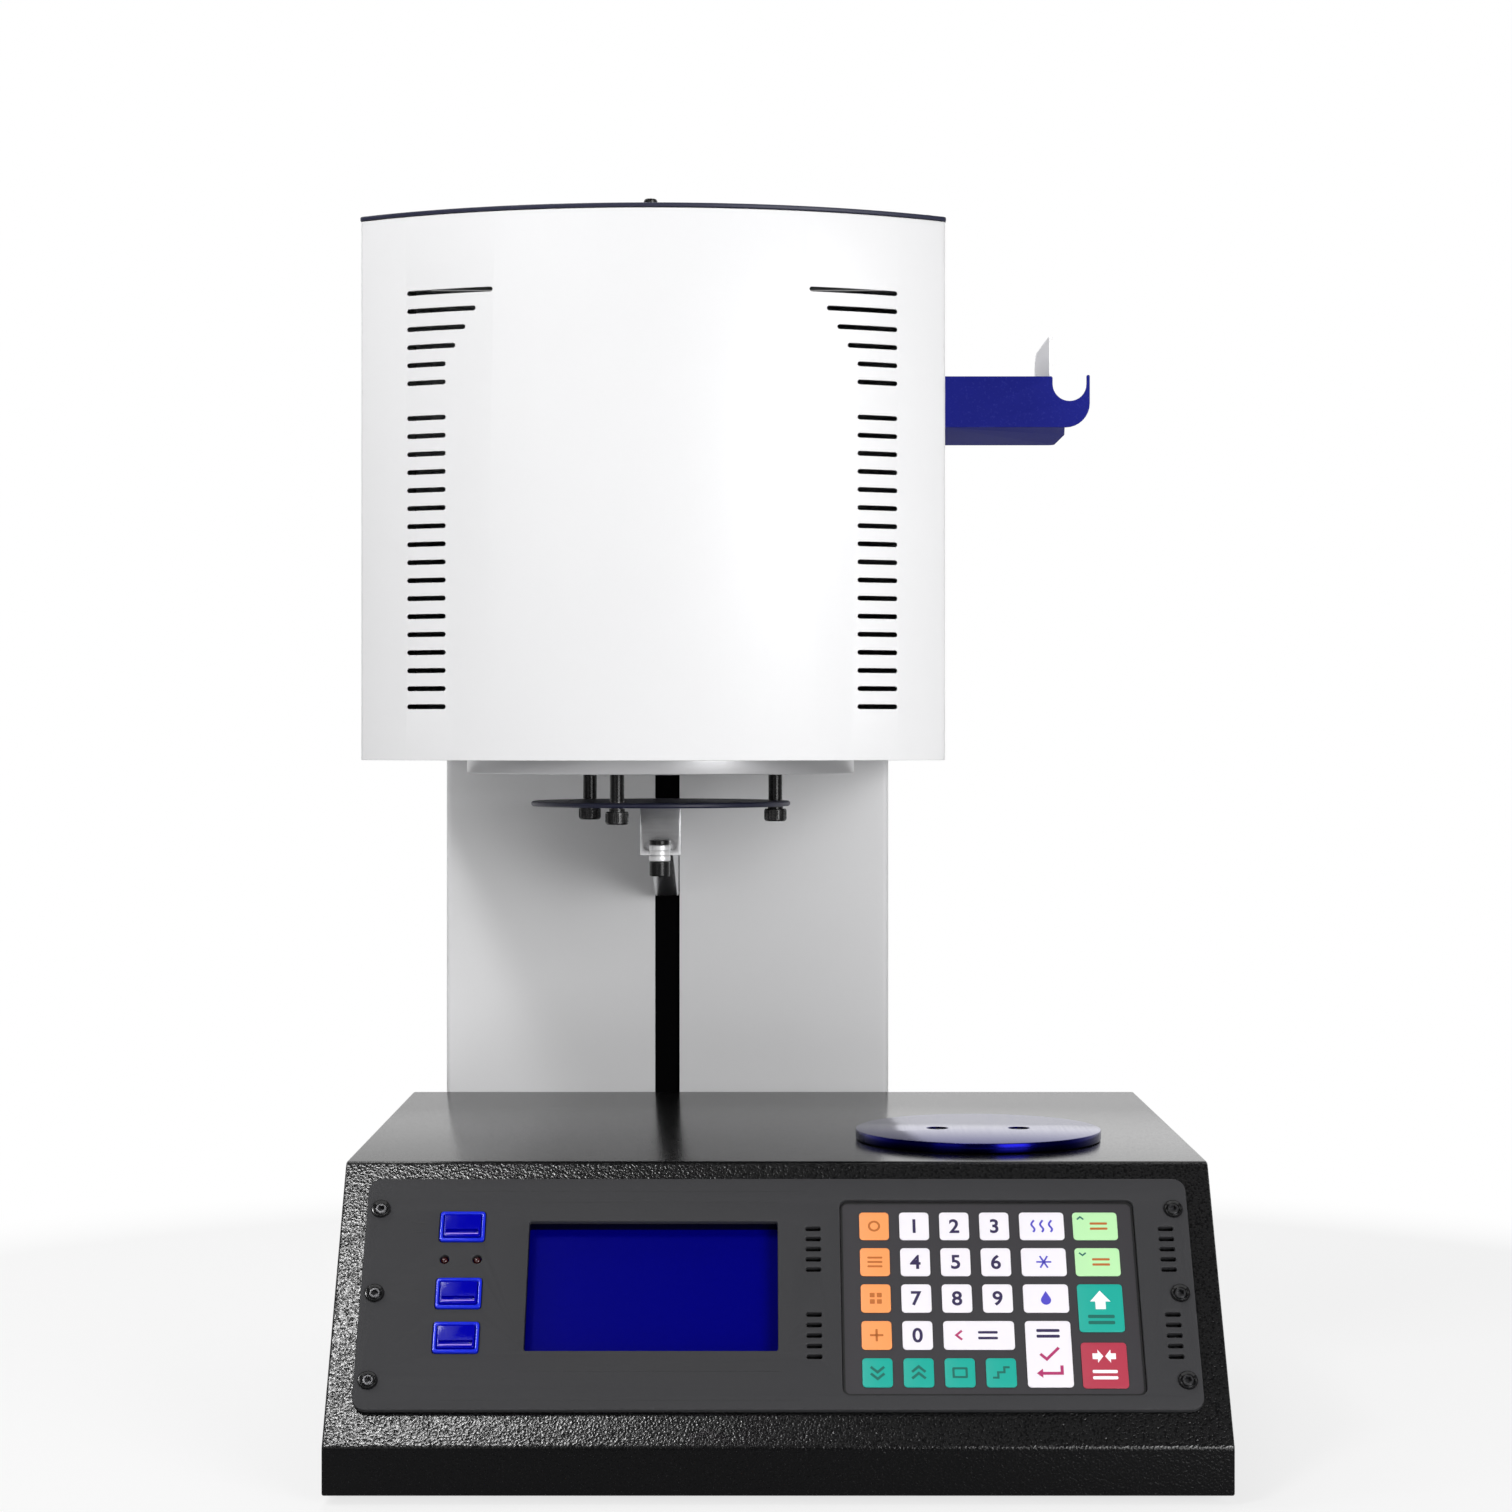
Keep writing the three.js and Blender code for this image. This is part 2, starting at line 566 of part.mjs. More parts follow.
// Blue cooling plate on the base's top, held by two sunk screws
function addCoolingPlate() {
  const y = yTopFold + coolingPlate.setback;
  const bottom = zTop + gap;
  const top = bottom + coolingPlate.thickness;
  const holes = [-1, 1].map((side) => coolingPlate.centreX + (side * coolingPlate.holeSpacing) / 2);
  add(furnace, 'cooling_plate', cut(
    disc(coolingPlate.radius, coolingPlate.centreX, y, bottom, top, 48),
    holes.map((x) => disc(coolingPlate.holeRadius, x, y, bottom - overrun, top + overrun, 20)),
  ), 'blueAnodised');
  holes.forEach((x, i) => {
    const screwHead = disc(plateScrew.radius, x, y, bottom, top - plateScrew.sink, 16);
    add(furnace, `cooling_plate_screw_${i + 1}`, screwHead, 'blackSteel');
  });
}

// Mains inlet with its rocker switch, and the hose outlet, on the base's rear wall
function addRearFittings() {
  const z = zBase + inlet.rise;
  const seat = yRearWall + gap;
  const face = seat + inlet.flange;
  const socketZ = z + inlet.socketRise;
  const wellZ = z - rocker.drop;
  const body = joined([
    box(inletX - inlet.flangeWidth / 2, inletX + inlet.flangeWidth / 2, seat, face,
      z - inlet.flangeHeight / 2, z + inlet.flangeHeight / 2),
    box(inletX - inlet.bodyWidth / 2, inletX + inlet.bodyWidth / 2, face - inlet.bodyDepth, face,
      z - inlet.bodyHeight / 2, z + inlet.bodyHeight / 2),
  ]);
  const hollow = cut(body, [
    box(inletX - inlet.socketWidth / 2, inletX + inlet.socketWidth / 2,
      face - inlet.socketDepth, face + overrun,
      socketZ - inlet.socketHeight / 2, socketZ + inlet.socketHeight / 2),
    box(inletX - rocker.wellWidth / 2, inletX + rocker.wellWidth / 2,
      face - rocker.wellDepth, face + overrun,
      wellZ - rocker.wellHeight / 2, wellZ + rocker.wellHeight / 2),
  ]);
  const pins = [-1, 0, 1].map((i) => {
    const x = inletX + i * inlet.pinSpacing;
    const floor = face - inlet.socketDepth;
    return box(x - inlet.pinWidth / 2, x + inlet.pinWidth / 2,
      floor - inlet.pinWidth, floor + inlet.pinReach,
      socketZ - inlet.pinHeight / 2, socketZ + inlet.pinHeight / 2);
  });
  add(furnace, 'mains_inlet', joined([hollow, ...pins]), 'blackPlastic');
  const halfWidth = rocker.wellWidth / 2 - rocker.clearance;
  const halfHeight = rocker.wellHeight / 2 - 2 * rocker.clearance;
  const paddle = roundedBox(-halfWidth, halfWidth, -halfHeight, halfHeight, -rocker.thickness / 2,
    rocker.thickness / 2, rocker.clearance).rotateX(Math.PI / 2);
  const turnedPaddle = paddle.rotateX(-THREE.MathUtils.degToRad(rocker.tiltDegrees));
  const paddleY = face + rocker.proud - rocker.thickness / 2;
  add(furnace, 'mains_rocker', turnedPaddle.translate(inletX, paddleY, wellZ), 'blackPlastic');
  const { flange: thick, barbRadius, barbNeck, reach, bore, thread } = outlet;
  add(furnace, 'vacuum_outlet', turnedBack([
    [0, -thread], [barbRadius, -thread], [barbRadius, gap], [outlet.flangeRadius, gap],
    [outlet.flangeRadius, gap + thick], [barbNeck, gap + thick], [barbNeck, reach / 2],
    [barbRadius, reach / 2], [barbNeck, (reach * 3) / 4], [barbRadius, (reach * 3) / 4],
    [barbNeck, reach], [bore, reach], [bore, thick], [0, thick],
  ], outletX, yRearWall, zBase + outlet.rise), 'aluminium');
}

function addTransformer() {
  const bottom = zPlate + gap;
  const { radius, bore, height, foldRadius } = transformer;
  const top = bottom + height;
  add(furnace, 'power_transformer', turned([
    [bore, bottom], [radius - foldRadius, bottom], [radius, bottom + foldRadius],
    [radius, top - foldRadius], [radius - foldRadius, top], [bore, top], [bore, bottom],
  ], transformer.centreX, yTopFold + transformer.setback, 28), 'copper');
}

// Rear column: shell with the lift slot, and its back cover

function addColumn() {
  const { centreX, sheet, foldRadius } = column;
  const outer = slab(filleted([
    [centreX - halfColumn, yColumn, foldRadius], [centreX + halfColumn, yColumn, foldRadius],
    [centreX + halfColumn, yBack], [centreX - halfColumn, yBack],
  ]), zBase, zColumnTop);
  const inside = box(
    centreX - columnInner, centreX + columnInner, yColumn + sheet, yBack + overrun,
    zBase - overrun, zColumnTop - sheet,
  );
  const plateRelief = box(
    centreX - columnInner, centreX + columnInner, yColumn - overrun, yColumn + sheet + overrun,
    zBase - overrun, zPlate + gap,
  );
  const slot = box(
    centreX - column.slotWidth / 2, centreX + column.slotWidth / 2,
    yColumn - overrun, yColumn + sheet + overrun, zTop, zTop + column.slotRise,
  );
  add(furnace, 'column_shell', cut(outer, [inside, plateRelief, slot]), 'whitePowder');
  const coverHalf = columnInner - gap;
  const vents = [];
  for (let i = 0; i < backCover.ventCount; i += 1) {
    const z = zBase + backCover.ventRise + i * backCover.ventPitch;
    vents.push(box(centreX - backCover.ventWidth / 2, centreX + backCover.ventWidth / 2,
      yBack - backCover.sheet - overrun, yBack + overrun, z, z + backCover.ventHeight));
  }
  const coverTop = zColumnTop - sheet - gap;
  const coverFoot = zPlate + gap;
  add(furnace, 'column_back_cover', cut(
    box(centreX - coverHalf, centreX + coverHalf, yBack - backCover.sheet, yBack, coverFoot, coverTop),
    vents,
  ), 'whitePowder');
}

// Lift drive: motor, screw, rods and their two plates, all inside the column
const zLowPlate = bearingPlate.lowTop - bearingPlate.thickness;

function addDrive() {
  const x = column.centreX;
  const front = yColumn + column.sheet + gap;
  const half = columnInner - gap;
  const lowPlate = box(
    x - half, x + half, front, front + bearingPlate.depth, zLowPlate, bearingPlate.lowTop,
  );
  add(furnace, 'lower_bearing_plate', cut(lowPlate, [
    disc(screw.radius + gap, x, yRod, zLowPlate - overrun, bearingPlate.lowTop + overrun, 24),
  ]), 'aluminium');
  add(furnace, 'upper_bearing_plate', box(
    x - half, x + half, front, front + bearingPlate.depth,
    bearingPlate.highBottom, bearingPlate.highBottom + bearingPlate.thickness,
  ), 'aluminium');
  [-1, 1].forEach((side, i) => {
    const rodX = x + (side * rod.spacing) / 2;
    const solid = disc(
      rod.radius, rodX, yRod, bearingPlate.lowTop + gap, bearingPlate.highBottom - gap, 24,
    );
    add(furnace, `guide_rod_${i + 1}`, solid, 'steel');
  });
  const motorTop = zLowPlate - gap - motor.bossHeight;
  add(furnace, 'lift_motor', joined([
    box(x - motor.side / 2, x + motor.side / 2, yRod - motor.side / 2, yRod + motor.side / 2,
      motorTop - motor.height, motorTop),
    cut(disc(motor.bossRadius, x, yRod, motorTop - motor.bossHeight, zLowPlate - gap, 24), [
      disc(screw.radius + gap, x, yRod, motorTop, zLowPlate, 24),
    ]),
  ]), 'blackSteel');
  add(furnace, 'lead_screw', disc(
    screw.radius, x, yRod, motorTop + gap, bearingPlate.highBottom - gap, 20,
  ), 'steel');
}

// Carriage, nut, arm and table: the pieces that travel up and down together
function addCarriage() {
  const x = column.centreX;
  const half = carriage.width / 2;
  const block = box(
    x - half, x + half, yCarriageFront, yCarriageFront + carriage.depth, zArmLow, zArmTop,
  );
  const holes = [-1, 1].map((side) => disc(
    rod.radius + gap, x + (side * rod.spacing) / 2, yRod, zArmLow - overrun, zArmTop + overrun, 24,
  ));
  const nutTop = zArmTop + nut.length;
  const nutSolid = turned([
    [0, zArmTop - overrun], [nut.flangeRadius, zArmTop - overrun],
    [nut.flangeRadius, zArmTop + nut.flangeHeight], [nut.radius, zArmTop + nut.flangeHeight],
    [nut.radius, nutTop], [0, nutTop],
  ], x, yRod, 24);
  holes.push(disc(screw.radius + gap, x, yRod, zArmLow - overrun, nutTop + overrun, 24));
  add(furnace, 'lift_carriage', cut(joined([block, nutSolid]), holes), 'aluminium');
}

function addArm() {
  const x = column.centreX;
  const webHalf = column.slotWidth / 2 - arm.webClearance;
  const rear = yCarriageFront - gap;
  const headRear = yAxis + arm.headDepth / 2;
  const headFront = yAxis - arm.headDepth / 2;
  const zHead = zArmTop - arm.headHeight;
  const web = sideView(filleted([
    [rear, zArmLow], [rear, zArmTop], [headRear - overrun, zArmTop], [headRear - overrun, zHead],
    [yColumn - arm.gussetStart, zArmLow],
  ]), x - webHalf, x + webHalf);
  const head = box(x - arm.headWidth / 2, x + arm.headWidth / 2, headFront, headRear, zHead, zArmTop);
  add(furnace, 'lift_arm', joined([web, head]), 'steel');
  // hose fitting on the arm's front end: a body on a short stub, with a bright ring round its middle
  const y = headFront - gap - fitting.radius - fitting.neckLength;
  const top = zArmTop - fitting.drop;
  const ringTop = top - fitting.ringStart;
  const ringFoot = ringTop - fitting.ringLength;
  const foot0 = top - fitting.length;
  const bodyProfile = [
    [0, foot0], [fitting.radius, foot0], [fitting.radius, ringFoot - fitting.neckLength],
    [fitting.neckRadius, ringFoot - fitting.neckLength], [fitting.neckRadius, ringTop + gap],
    [fitting.radius, ringTop + gap], [fitting.radius, top], [0, top],
  ];
  const stubHalf = (fitting.ringStart - gap) / 2;
  const stubMiddle = top - fitting.ringStart / 2;
  add(furnace, 'hose_fitting', joined([
    turned(bodyProfile, x, y, 24),
    box(x - stubHalf, x + stubHalf, y, headFront - gap, stubMiddle - stubHalf, top),
  ]), 'blackPlastic');
  add(furnace, 'fitting_ring', turned(
    ringProfile(fitting.neckRadius + gap, fitting.radius, ringFoot, ringTop), x, y, 24,
  ), 'aluminium');
}

function boltPlaces() {
  const places = [];
  for (let i = 0; i < bolt.count; i += 1) {
    const angle = THREE.MathUtils.degToRad(bolt.firstAngleDegrees) + (i * 2 * Math.PI) / bolt.count;
    places.push([column.centreX + bolt.circle * Math.cos(angle), yAxis - bolt.circle * Math.sin(angle)]);
  }
  return places;
}

function addTable() {
  const x = column.centreX;
  add(furnace, 'platform_plate', cut(
    disc(platform.radius, x, yAxis, zPlatform, zPlatformTop, 48),
    boltPlaces().map(([bx, by]) => disc(
      bolt.shankRadius + gap, bx, by, zPlatform - overrun, zPlatformTop + overrun, 16,
    )),
  ), 'navyPowder');
  const washerTop = zPlatform - gap;
  const washerFoot = washerTop - bolt.washerHeight;
  const headFoot = washerFoot - bolt.headHeight;
  const sleeveFoot = zPlatformTop + gap;
  const sleeveTop = zCarrier - gap;
  boltPlaces().forEach(([bx, by], i) => {
    add(furnace, `platform_bolt_${i + 1}`, turned([
      [0, headFoot], [bolt.headRadius, headFoot], [bolt.headRadius, washerFoot],
      [bolt.washerRadius, washerFoot], [bolt.washerRadius, washerTop], [bolt.shankRadius, washerTop],
      [bolt.shankRadius, sleeveFoot],
      [bolt.sleeveRadius, sleeveFoot], [bolt.sleeveRadius, sleeveTop], [0, sleeveTop],
    ], bx, by, 16), 'blackSteel');
  });
  add(furnace, 'carrier_plate', disc(carrier.radius, x, yAxis, zCarrier, zCarrierTop, 48), 'aluminium');
  const sealRoom = zFloorUnder - gap - (zCarrierTop + gap);
  const sealMiddle = (zFloorUnder + zCarrierTop) / 2;
  const section = [];
  for (let i = 0; i <= sealSides; i += 1) {
    const angle = (i * 2 * Math.PI) / sealSides;
    section.push([
      seal.radius + (sealRoom / 2) * Math.cos(angle), sealMiddle + (sealRoom / 2) * Math.sin(angle),
    ]);
  }
  add(furnace, 'chamber_seal', turned(section, x, yAxis, 28), 'sealRubber');
  const plugFoot = zCarrierTop + gap;
  const plugTop = plugFoot + plug.height;
  add(furnace, 'insulating_plug', disc(plug.radius, x, yAxis, plugFoot, plugTop, 40), 'fibre');
  const trayFoot = plugTop + gap;
  const trayTop = trayFoot + tray.thickness;
  const holes = [];
  for (let q = -tray.rings; q <= tray.rings; q += 1) {
    for (let r = -tray.rings; r <= tray.rings; r += 1) {
      if (Math.abs(q + r) > tray.rings) continue;
      const hx = x + tray.holePitch * (q + r / 2);
      const hy = yAxis + tray.holePitch * r * Math.sin(Math.PI / 3);
      holes.push(disc(tray.holeRadius, hx, hy, trayFoot - overrun, trayTop + overrun, 6));
    }
  }
  add(furnace, 'firing_tray', cut(disc(tray.radius, x, yAxis, trayFoot, trayTop, 36), holes), 'ceramic');
}

// Housing: outline of the sheet wrap in plan, inset by some amount
function planOutline(inset, backInset = inset) {
  const half = housing.width / 2 - inset;
  const radius = bowRadius - inset;
  const centreY = yHousingFront - housing.bow + bowRadius;
  const angle = Math.asin(half / radius);
  const shape = new THREE.Shape();
  const x = column.centreX;
  shape.moveTo(x + half, yHousingBack - backInset);
  shape.lineTo(x - half, yHousingBack - backInset);
  shape.absarc(x, centreY, radius, -Math.PI / 2 - angle, -Math.PI / 2 + angle, false);
  shape.closePath();
  return shape;
}
const bowSegments = 14;

function addHousing() {
  const x = column.centreX;
  const outer = slab(planOutline(0), zHousing, zHousingTop, bowSegments);
  const inner = slab(
    planOutline(housing.sheet, -overrun), zHousing - overrun, zHousingTop + overrun, bowSegments,
  );
  const slots = [];
  const slotAt = (side, innerEnd, z) => {
    const ends = [x + side * innerEnd, x + side * vent.outer].sort((a, b) => a - b);
    slots.push(box(ends[0], ends[1], yHousingFront - housing.bow - overrun, yHousingFront + overrun,
      z, z + vent.height));
  };
  for (const side of [-1, 1]) {
    const low = zHousing + vent.lowRise;
    for (let i = 0; i < vent.lowCount; i += 1) slotAt(side, vent.inner, low + i * vent.pitch);
    const high = low + (vent.lowCount - 1) * vent.pitch + vent.groupGap;
    ventInnerEnds.forEach((end, i) => slotAt(side, end, high + i * vent.pitch));
  }
  add(furnace, 'housing_wrap', cut(outer, [inner, ...slots]), 'whitePowder');
  const backHalf = housing.width / 2 - housing.sheet - gap;
  // two bars on the back sheet stand it off the column
  const sheetBack = box(
    x - backHalf, x + backHalf, yHousingBack - housing.sheet, yHousingBack, zHousing, zHousingTop,
  );
  const bars = [spacerBar.lowRise, spacerBar.highRise].map((rise) => box(
    x - spacerBar.length / 2, x + spacerBar.length / 2, yHousingBack - housing.sheet, yColumn - gap,
    zHousing + rise, zHousing + rise + spacerBar.height,
  ));
  add(furnace, 'housing_back', joined([sheetBack, ...bars]), 'whitePowder');
  const floor = slab(planOutline(housing.sheet + gap), zFloorUnder, zFloorTop, bowSegments);
  add(furnace, 'housing_floor', cut(floor, [
    disc(muffle.radius - muffle.wall, x, yAxis, zFloorUnder - overrun, zFloorTop + overrun, 40),
  ]), 'steel');
  const coverFoot = zHousingTop + gap;
  const coverTop = coverFoot + topCover.thickness;
  const coverOutline = planOutline(-topCover.overhang);
  add(furnace, 'top_cover', slab(coverOutline, coverFoot, coverTop, bowSegments), 'navyPowder');
  const seat = coverTop + gap;
  const headTop = seat + coverScrew.headHeight;
  const middle = seat + coverScrew.headHeight / 2;
  add(furnace, 'top_cover_screw', turned([
    [0, seat], [coverScrew.headRadius, seat], [coverScrew.headRadius, middle],
    [coverScrew.headRadius / 2, headTop], [0, headTop],
  ], x, yHousingFront - housing.bow + coverScrew.edge, 14), 'blackSteel');
}

function addChamber() {
  const x = column.centreX;
  add(furnace, 'chamber_flange', turned(ringProfile(
    carrier.radius + carrier.rimClearance, flange.radius, zFlange, zFloorUnder - gap,
  ), x, yAxis, 56), 'aluminium');
  const foot1 = zFloorTop + gap;
  const canTop = foot1 + can.height;
  const bore = probe.radius + probe.boreClearance;
  add(furnace, 'chamber_can', turned([
    [can.radius - can.wall, foot1], [can.radius, foot1], [can.radius, canTop], [bore, canTop],
    [bore, canTop - can.wall], [can.radius - can.wall, canTop - can.wall],
    [can.radius - can.wall, foot1],
  ], x, yAxis, 40), 'steel');
  const woolTop = canTop - can.wall - gap;
  const roofFoot = woolTop - insulation.roof;
  add(furnace, 'chamber_insulation', turned([
    [muffle.radius + gap, foot1], [can.radius - can.wall - gap, foot1],
    [can.radius - can.wall - gap, woolTop], [bore, woolTop], [bore, roofFoot],
    [muffle.radius + gap, roofFoot], [muffle.radius + gap, foot1],
  ], x, yAxis, 40), 'fibre');
  add(furnace, 'heating_muffle', turned(ringProfile(
    muffle.radius - muffle.wall, muffle.radius, foot1, foot1 + muffle.height,
  ), x, yAxis, 40), 'quartz');
  const headFoot = canTop + gap;
  add(furnace, 'thermocouple', turned([
    [0, roofFoot - probe.reach], [probe.radius, roofFoot - probe.reach], [probe.radius, headFoot],
    [probe.headRadius, headFoot], [probe.headRadius, headFoot + probe.headHeight],
    [0, headFoot + probe.headHeight],
  ], x, yAxis, 16), 'ceramic');
}

// Tool holder, drawn from its inner bottom front corner
function addHolder() {
  const group = new THREE.Group();
  const housingSide = column.centreX + housing.width / 2;
  group.position.set(housingSide + gap, yColumn - holder.frontOffset, zHousing + holder.mountHeight);
  furnace.add(group);
  const notchRight = holder.webLength - holder.prongWidth;
  const notchLeft = notchRight - 2 * holder.notchRadius;
  const notchMiddle = holder.prongHeight - holder.notchDepth + holder.notchRadius;
  const web = new THREE.Shape();
  web.moveTo(0, 0);
  web.lineTo(holder.webLength - holder.heelRadius, 0);
  web.quadraticCurveTo(holder.webLength, 0, holder.webLength, holder.heelRadius);
  web.lineTo(holder.webLength, holder.prongHeight);
  web.lineTo(notchRight, holder.prongHeight);
  web.lineTo(notchRight, notchMiddle);
  web.absarc(notchLeft + holder.notchRadius, notchMiddle, holder.notchRadius, 0, Math.PI, true);
  web.lineTo(notchLeft, holder.webHeight);
  web.lineTo(0, holder.webHeight);
  web.closePath();
  const shelf = slab(filleted([
    [0, 0], [holder.shelfLength, 0], [holder.shelfLength, holder.shelfDepth, holder.shelfRadius],
    [0, holder.shelfDepth],
  ]), 0, holder.sheet);
  const ear = box(0, holder.sheet, 0, holder.shelfDepth, 0, holder.webHeight);
  const plateFront = holder.sheet + gap;
  const plateFoot = holder.sheet + gap;
  add(group, 'holder_end_plate', sideView(filleted([
    [plateFront, plateFoot], [holder.shelfDepth - holder.shelfRadius, plateFoot],
    [holder.shelfDepth - holder.shelfRadius, endPlate.height, endPlate.rearRadius],
    [plateFront, endPlate.height, endPlate.frontRadius],
  ]), notchLeft - endPlate.sheet, notchLeft), 'paleSteel');
  const heads = [];
  for (let i = 0; i < holderScrew.count; i += 1) {
    heads.push(new THREE.CylinderGeometry(
      holderScrew.headRadius, holderScrew.headRadius, holderScrew.headHeight, 16,
    ).rotateZ(Math.PI / 2).translate(
      holder.sheet + holderScrew.headHeight / 2 - gap, holderScrew.fromFront + i * holderScrew.pitch,
      holder.webHeight / 2,
    ));
  }
  const frontSheet = frontView(web, 0, holder.sheet);
  add(group, 'tool_holder', joined([frontSheet, shelf, ear, ...heads]), 'bluePowder');
}

addFloorPlate();
addFeet();
addBaseShell();
addFascia();
addDisplay();
addKeypad();
addButtons();
addBoard();
addCoolingPlate();
addRearFittings();
addTransformer();
addColumn();
addDrive();
addCarriage();
addArm();
addTable();
addHousing();
addChamber();
addHolder();

export default furnace;
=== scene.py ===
"""Dental laboratory furnace with a lift-up firing table: its looks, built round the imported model.

Lengths are millimetres until a piece is finished, and then metres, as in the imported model.
"""

import logging
import math
from collections.abc import Callable, Iterable, Sequence
from dataclasses import dataclass
from enum import Enum, auto
from functools import cache

import bmesh
import bpy
from mathutils import Matrix, Vector


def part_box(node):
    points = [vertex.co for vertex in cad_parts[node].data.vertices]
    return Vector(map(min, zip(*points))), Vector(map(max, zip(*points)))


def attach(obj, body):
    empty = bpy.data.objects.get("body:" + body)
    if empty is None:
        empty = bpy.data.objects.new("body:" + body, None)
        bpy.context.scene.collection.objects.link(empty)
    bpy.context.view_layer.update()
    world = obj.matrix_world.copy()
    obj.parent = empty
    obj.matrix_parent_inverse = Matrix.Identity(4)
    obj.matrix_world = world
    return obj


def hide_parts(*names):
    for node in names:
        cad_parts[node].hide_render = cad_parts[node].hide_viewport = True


LOG = logging.getLogger("furnace")
MM = 0.001

Point = tuple[float, float]
Loop = list[Point]
Colour = tuple[float, float, float]
Mesh = bpy.types.Mesh
Tree = bpy.types.NodeTree
Socket = bpy.types.NodeSocket

WHITE = (1.0, 1.0, 1.0, 1.0)
SLOPE_ANGLE = math.atan2(114.0, 85.0)
CAP_SHARE = 0.73
"""A capital's height as a share of the font's size."""
BOLD_SHARE = 0.03
"""How far the printed digits are thickened, as a share of their height."""
ALONG_X = Matrix(((0, 0, 1, 0), (1, 0, 0, 0), (0, 1, 0, 0), (0, 0, 0, 1)))
"""Takes an outline drawn as y, z and a depth to its place, with the depth along X."""
ALONG_Y = Matrix(((1, 0, 0, 0), (0, 0, -1, 0), (0, 1, 0, 0), (0, 0, 0, 1)))
"""Takes an outline drawn as x, z to its place, with the depth running towards -Y."""
FACING_BACK = Matrix(((-1, 0, 0, 0), (0, 0, 1, 0), (0, 1, 0, 0), (0, 0, 0, 1)))
"""Stands a turned piece or a plate out of a rear wall, with its height along +Y."""
SOCKET_KINDS = {
    "Coordinates": "NodeSocketVector", "Colour": "NodeSocketColor", "Stretch": "NodeSocketColor",
    "Geometry": "NodeSocketGeometry", "Fastener": "NodeSocketObject", "Material": "NodeSocketMaterial",
}
"""The socket types of the node groups' inputs and outputs that aren't plain numbers."""


def rgb(red: int, green: int, blue: int) -> Colour:
    """A screen colour, 0 to 255 a channel, as linear light."""
    shares = (red / 255, green / 255, blue / 255)
    return tuple(((s + 0.055) / 1.055) ** 2.4 if s > 10 / 255 else s / 12.92 for s in shares)


class Graph:
    """A node tree with a short way to add nodes and wire them."""

    def __init__(self, tree: Tree) -> None:
        """Wraps a shader or geometry node tree."""
        self.tree = tree

    def add(self, kind: str, inputs: dict | None = None, **settings) -> bpy.types.Node:
        """Adds a node.

        Args:
            kind: the node's type name.
            inputs: what goes into each socket, by name or index: another node's output or a value.
            settings: the node's own properties.

        Returns:
            The new node.
        """
        node = self.tree.nodes.new(kind)
        for key, value in settings.items():
            setattr(node, key, value)
        for key, value in (inputs or {}).items():
            if isinstance(value, Socket):
                self.link(value, node.inputs[key])
            else:
                node.inputs[key].default_value = value
        return node

    def link(self, output: Socket, socket: Socket) -> None:
        """Wires an output to an input."""
        self.tree.links.new(output, socket)

    def sum(self, kind: str, first: object, second: object = 0.0, third: object = 0.0) -> Socket:
        """A Math node of that operation, and its output."""
        return self.add("ShaderNodeMath", {0: first, 1: second, 2: third}, operation=kind).outputs[0]

    def blend(self, factor: object, first: object, second: object) -> Socket:
        """A colour mixed from first to second by factor."""
        return self.add("ShaderNodeMix", {0: factor, 6: first, 7: second}, data_type="RGBA").outputs[2]

    def remap(self, value: Socket, low: float, high: float) -> Socket:
        """Value taken from low..high to 0..1, eased at both ends."""
        inputs = {"Value": value, "From Min": low, "From Max": high}
        return self.add("ShaderNodeMapRange", inputs, interpolation_type="SMOOTHSTEP").outputs[0]

    def noise(self, given: dict[str, Socket], detail: float) -> Socket:
        """Noise at a group's own coordinates and scale."""
        inputs = {"Vector": given["Coordinates"], "Scale": given["Scale"], "Detail": detail}
        return self.add("ShaderNodeTexNoise", inputs).outputs[0]

    def upward(self, which: str) -> Socket:
        """How far a normal of the surface points up."""
        normal = self.add("ShaderNodeNewGeometry").outputs[which]
        return self.add("ShaderNodeSeparateXYZ", {0: normal}).outputs["Z"]


def open_group(kind: str, name: str, inputs: dict[str, object], *outputs: str) -> tuple[Graph, dict, dict]:
    """Opens a node group with named inputs and outputs.

    Args:
        kind: the tree's type name.
        name: the group's name.
        inputs: each input's name and its first value, or None where it has none.
        outputs: the names of the outputs.

    Returns:
        The graph, the input sockets by name and the output sockets by name.
    """
    tree = bpy.data.node_groups.new(name, kind)
    for label, value in inputs.items():
        plain = "NodeSocketInt" if isinstance(value, int) else "NodeSocketFloat"
        socket = tree.interface.new_socket(label, in_out="INPUT", socket_type=SOCKET_KINDS.get(label, plain))
        if value is not None:
            socket.default_value = value
    for label in outputs:
        kind = SOCKET_KINDS.get(label, "NodeSocketFloat")
        tree.interface.new_socket(label, in_out="OUTPUT", socket_type=kind)
    graph = Graph(tree)
    entry = graph.add("NodeGroupInput")
    leave = graph.add("NodeGroupOutput")
    return graph, {s.name: s for s in entry.outputs}, {s.name: s for s in leave.inputs}


class SurfaceEffect(Enum):
    """The shader node groups that several finishes share."""

    DRIFT = "tone_drift"
    GRAIN = "powder_grain"
    BRUSH = "brushed_lines"
    WEAR = "edge_wear"
    DUST = "settled_dust"


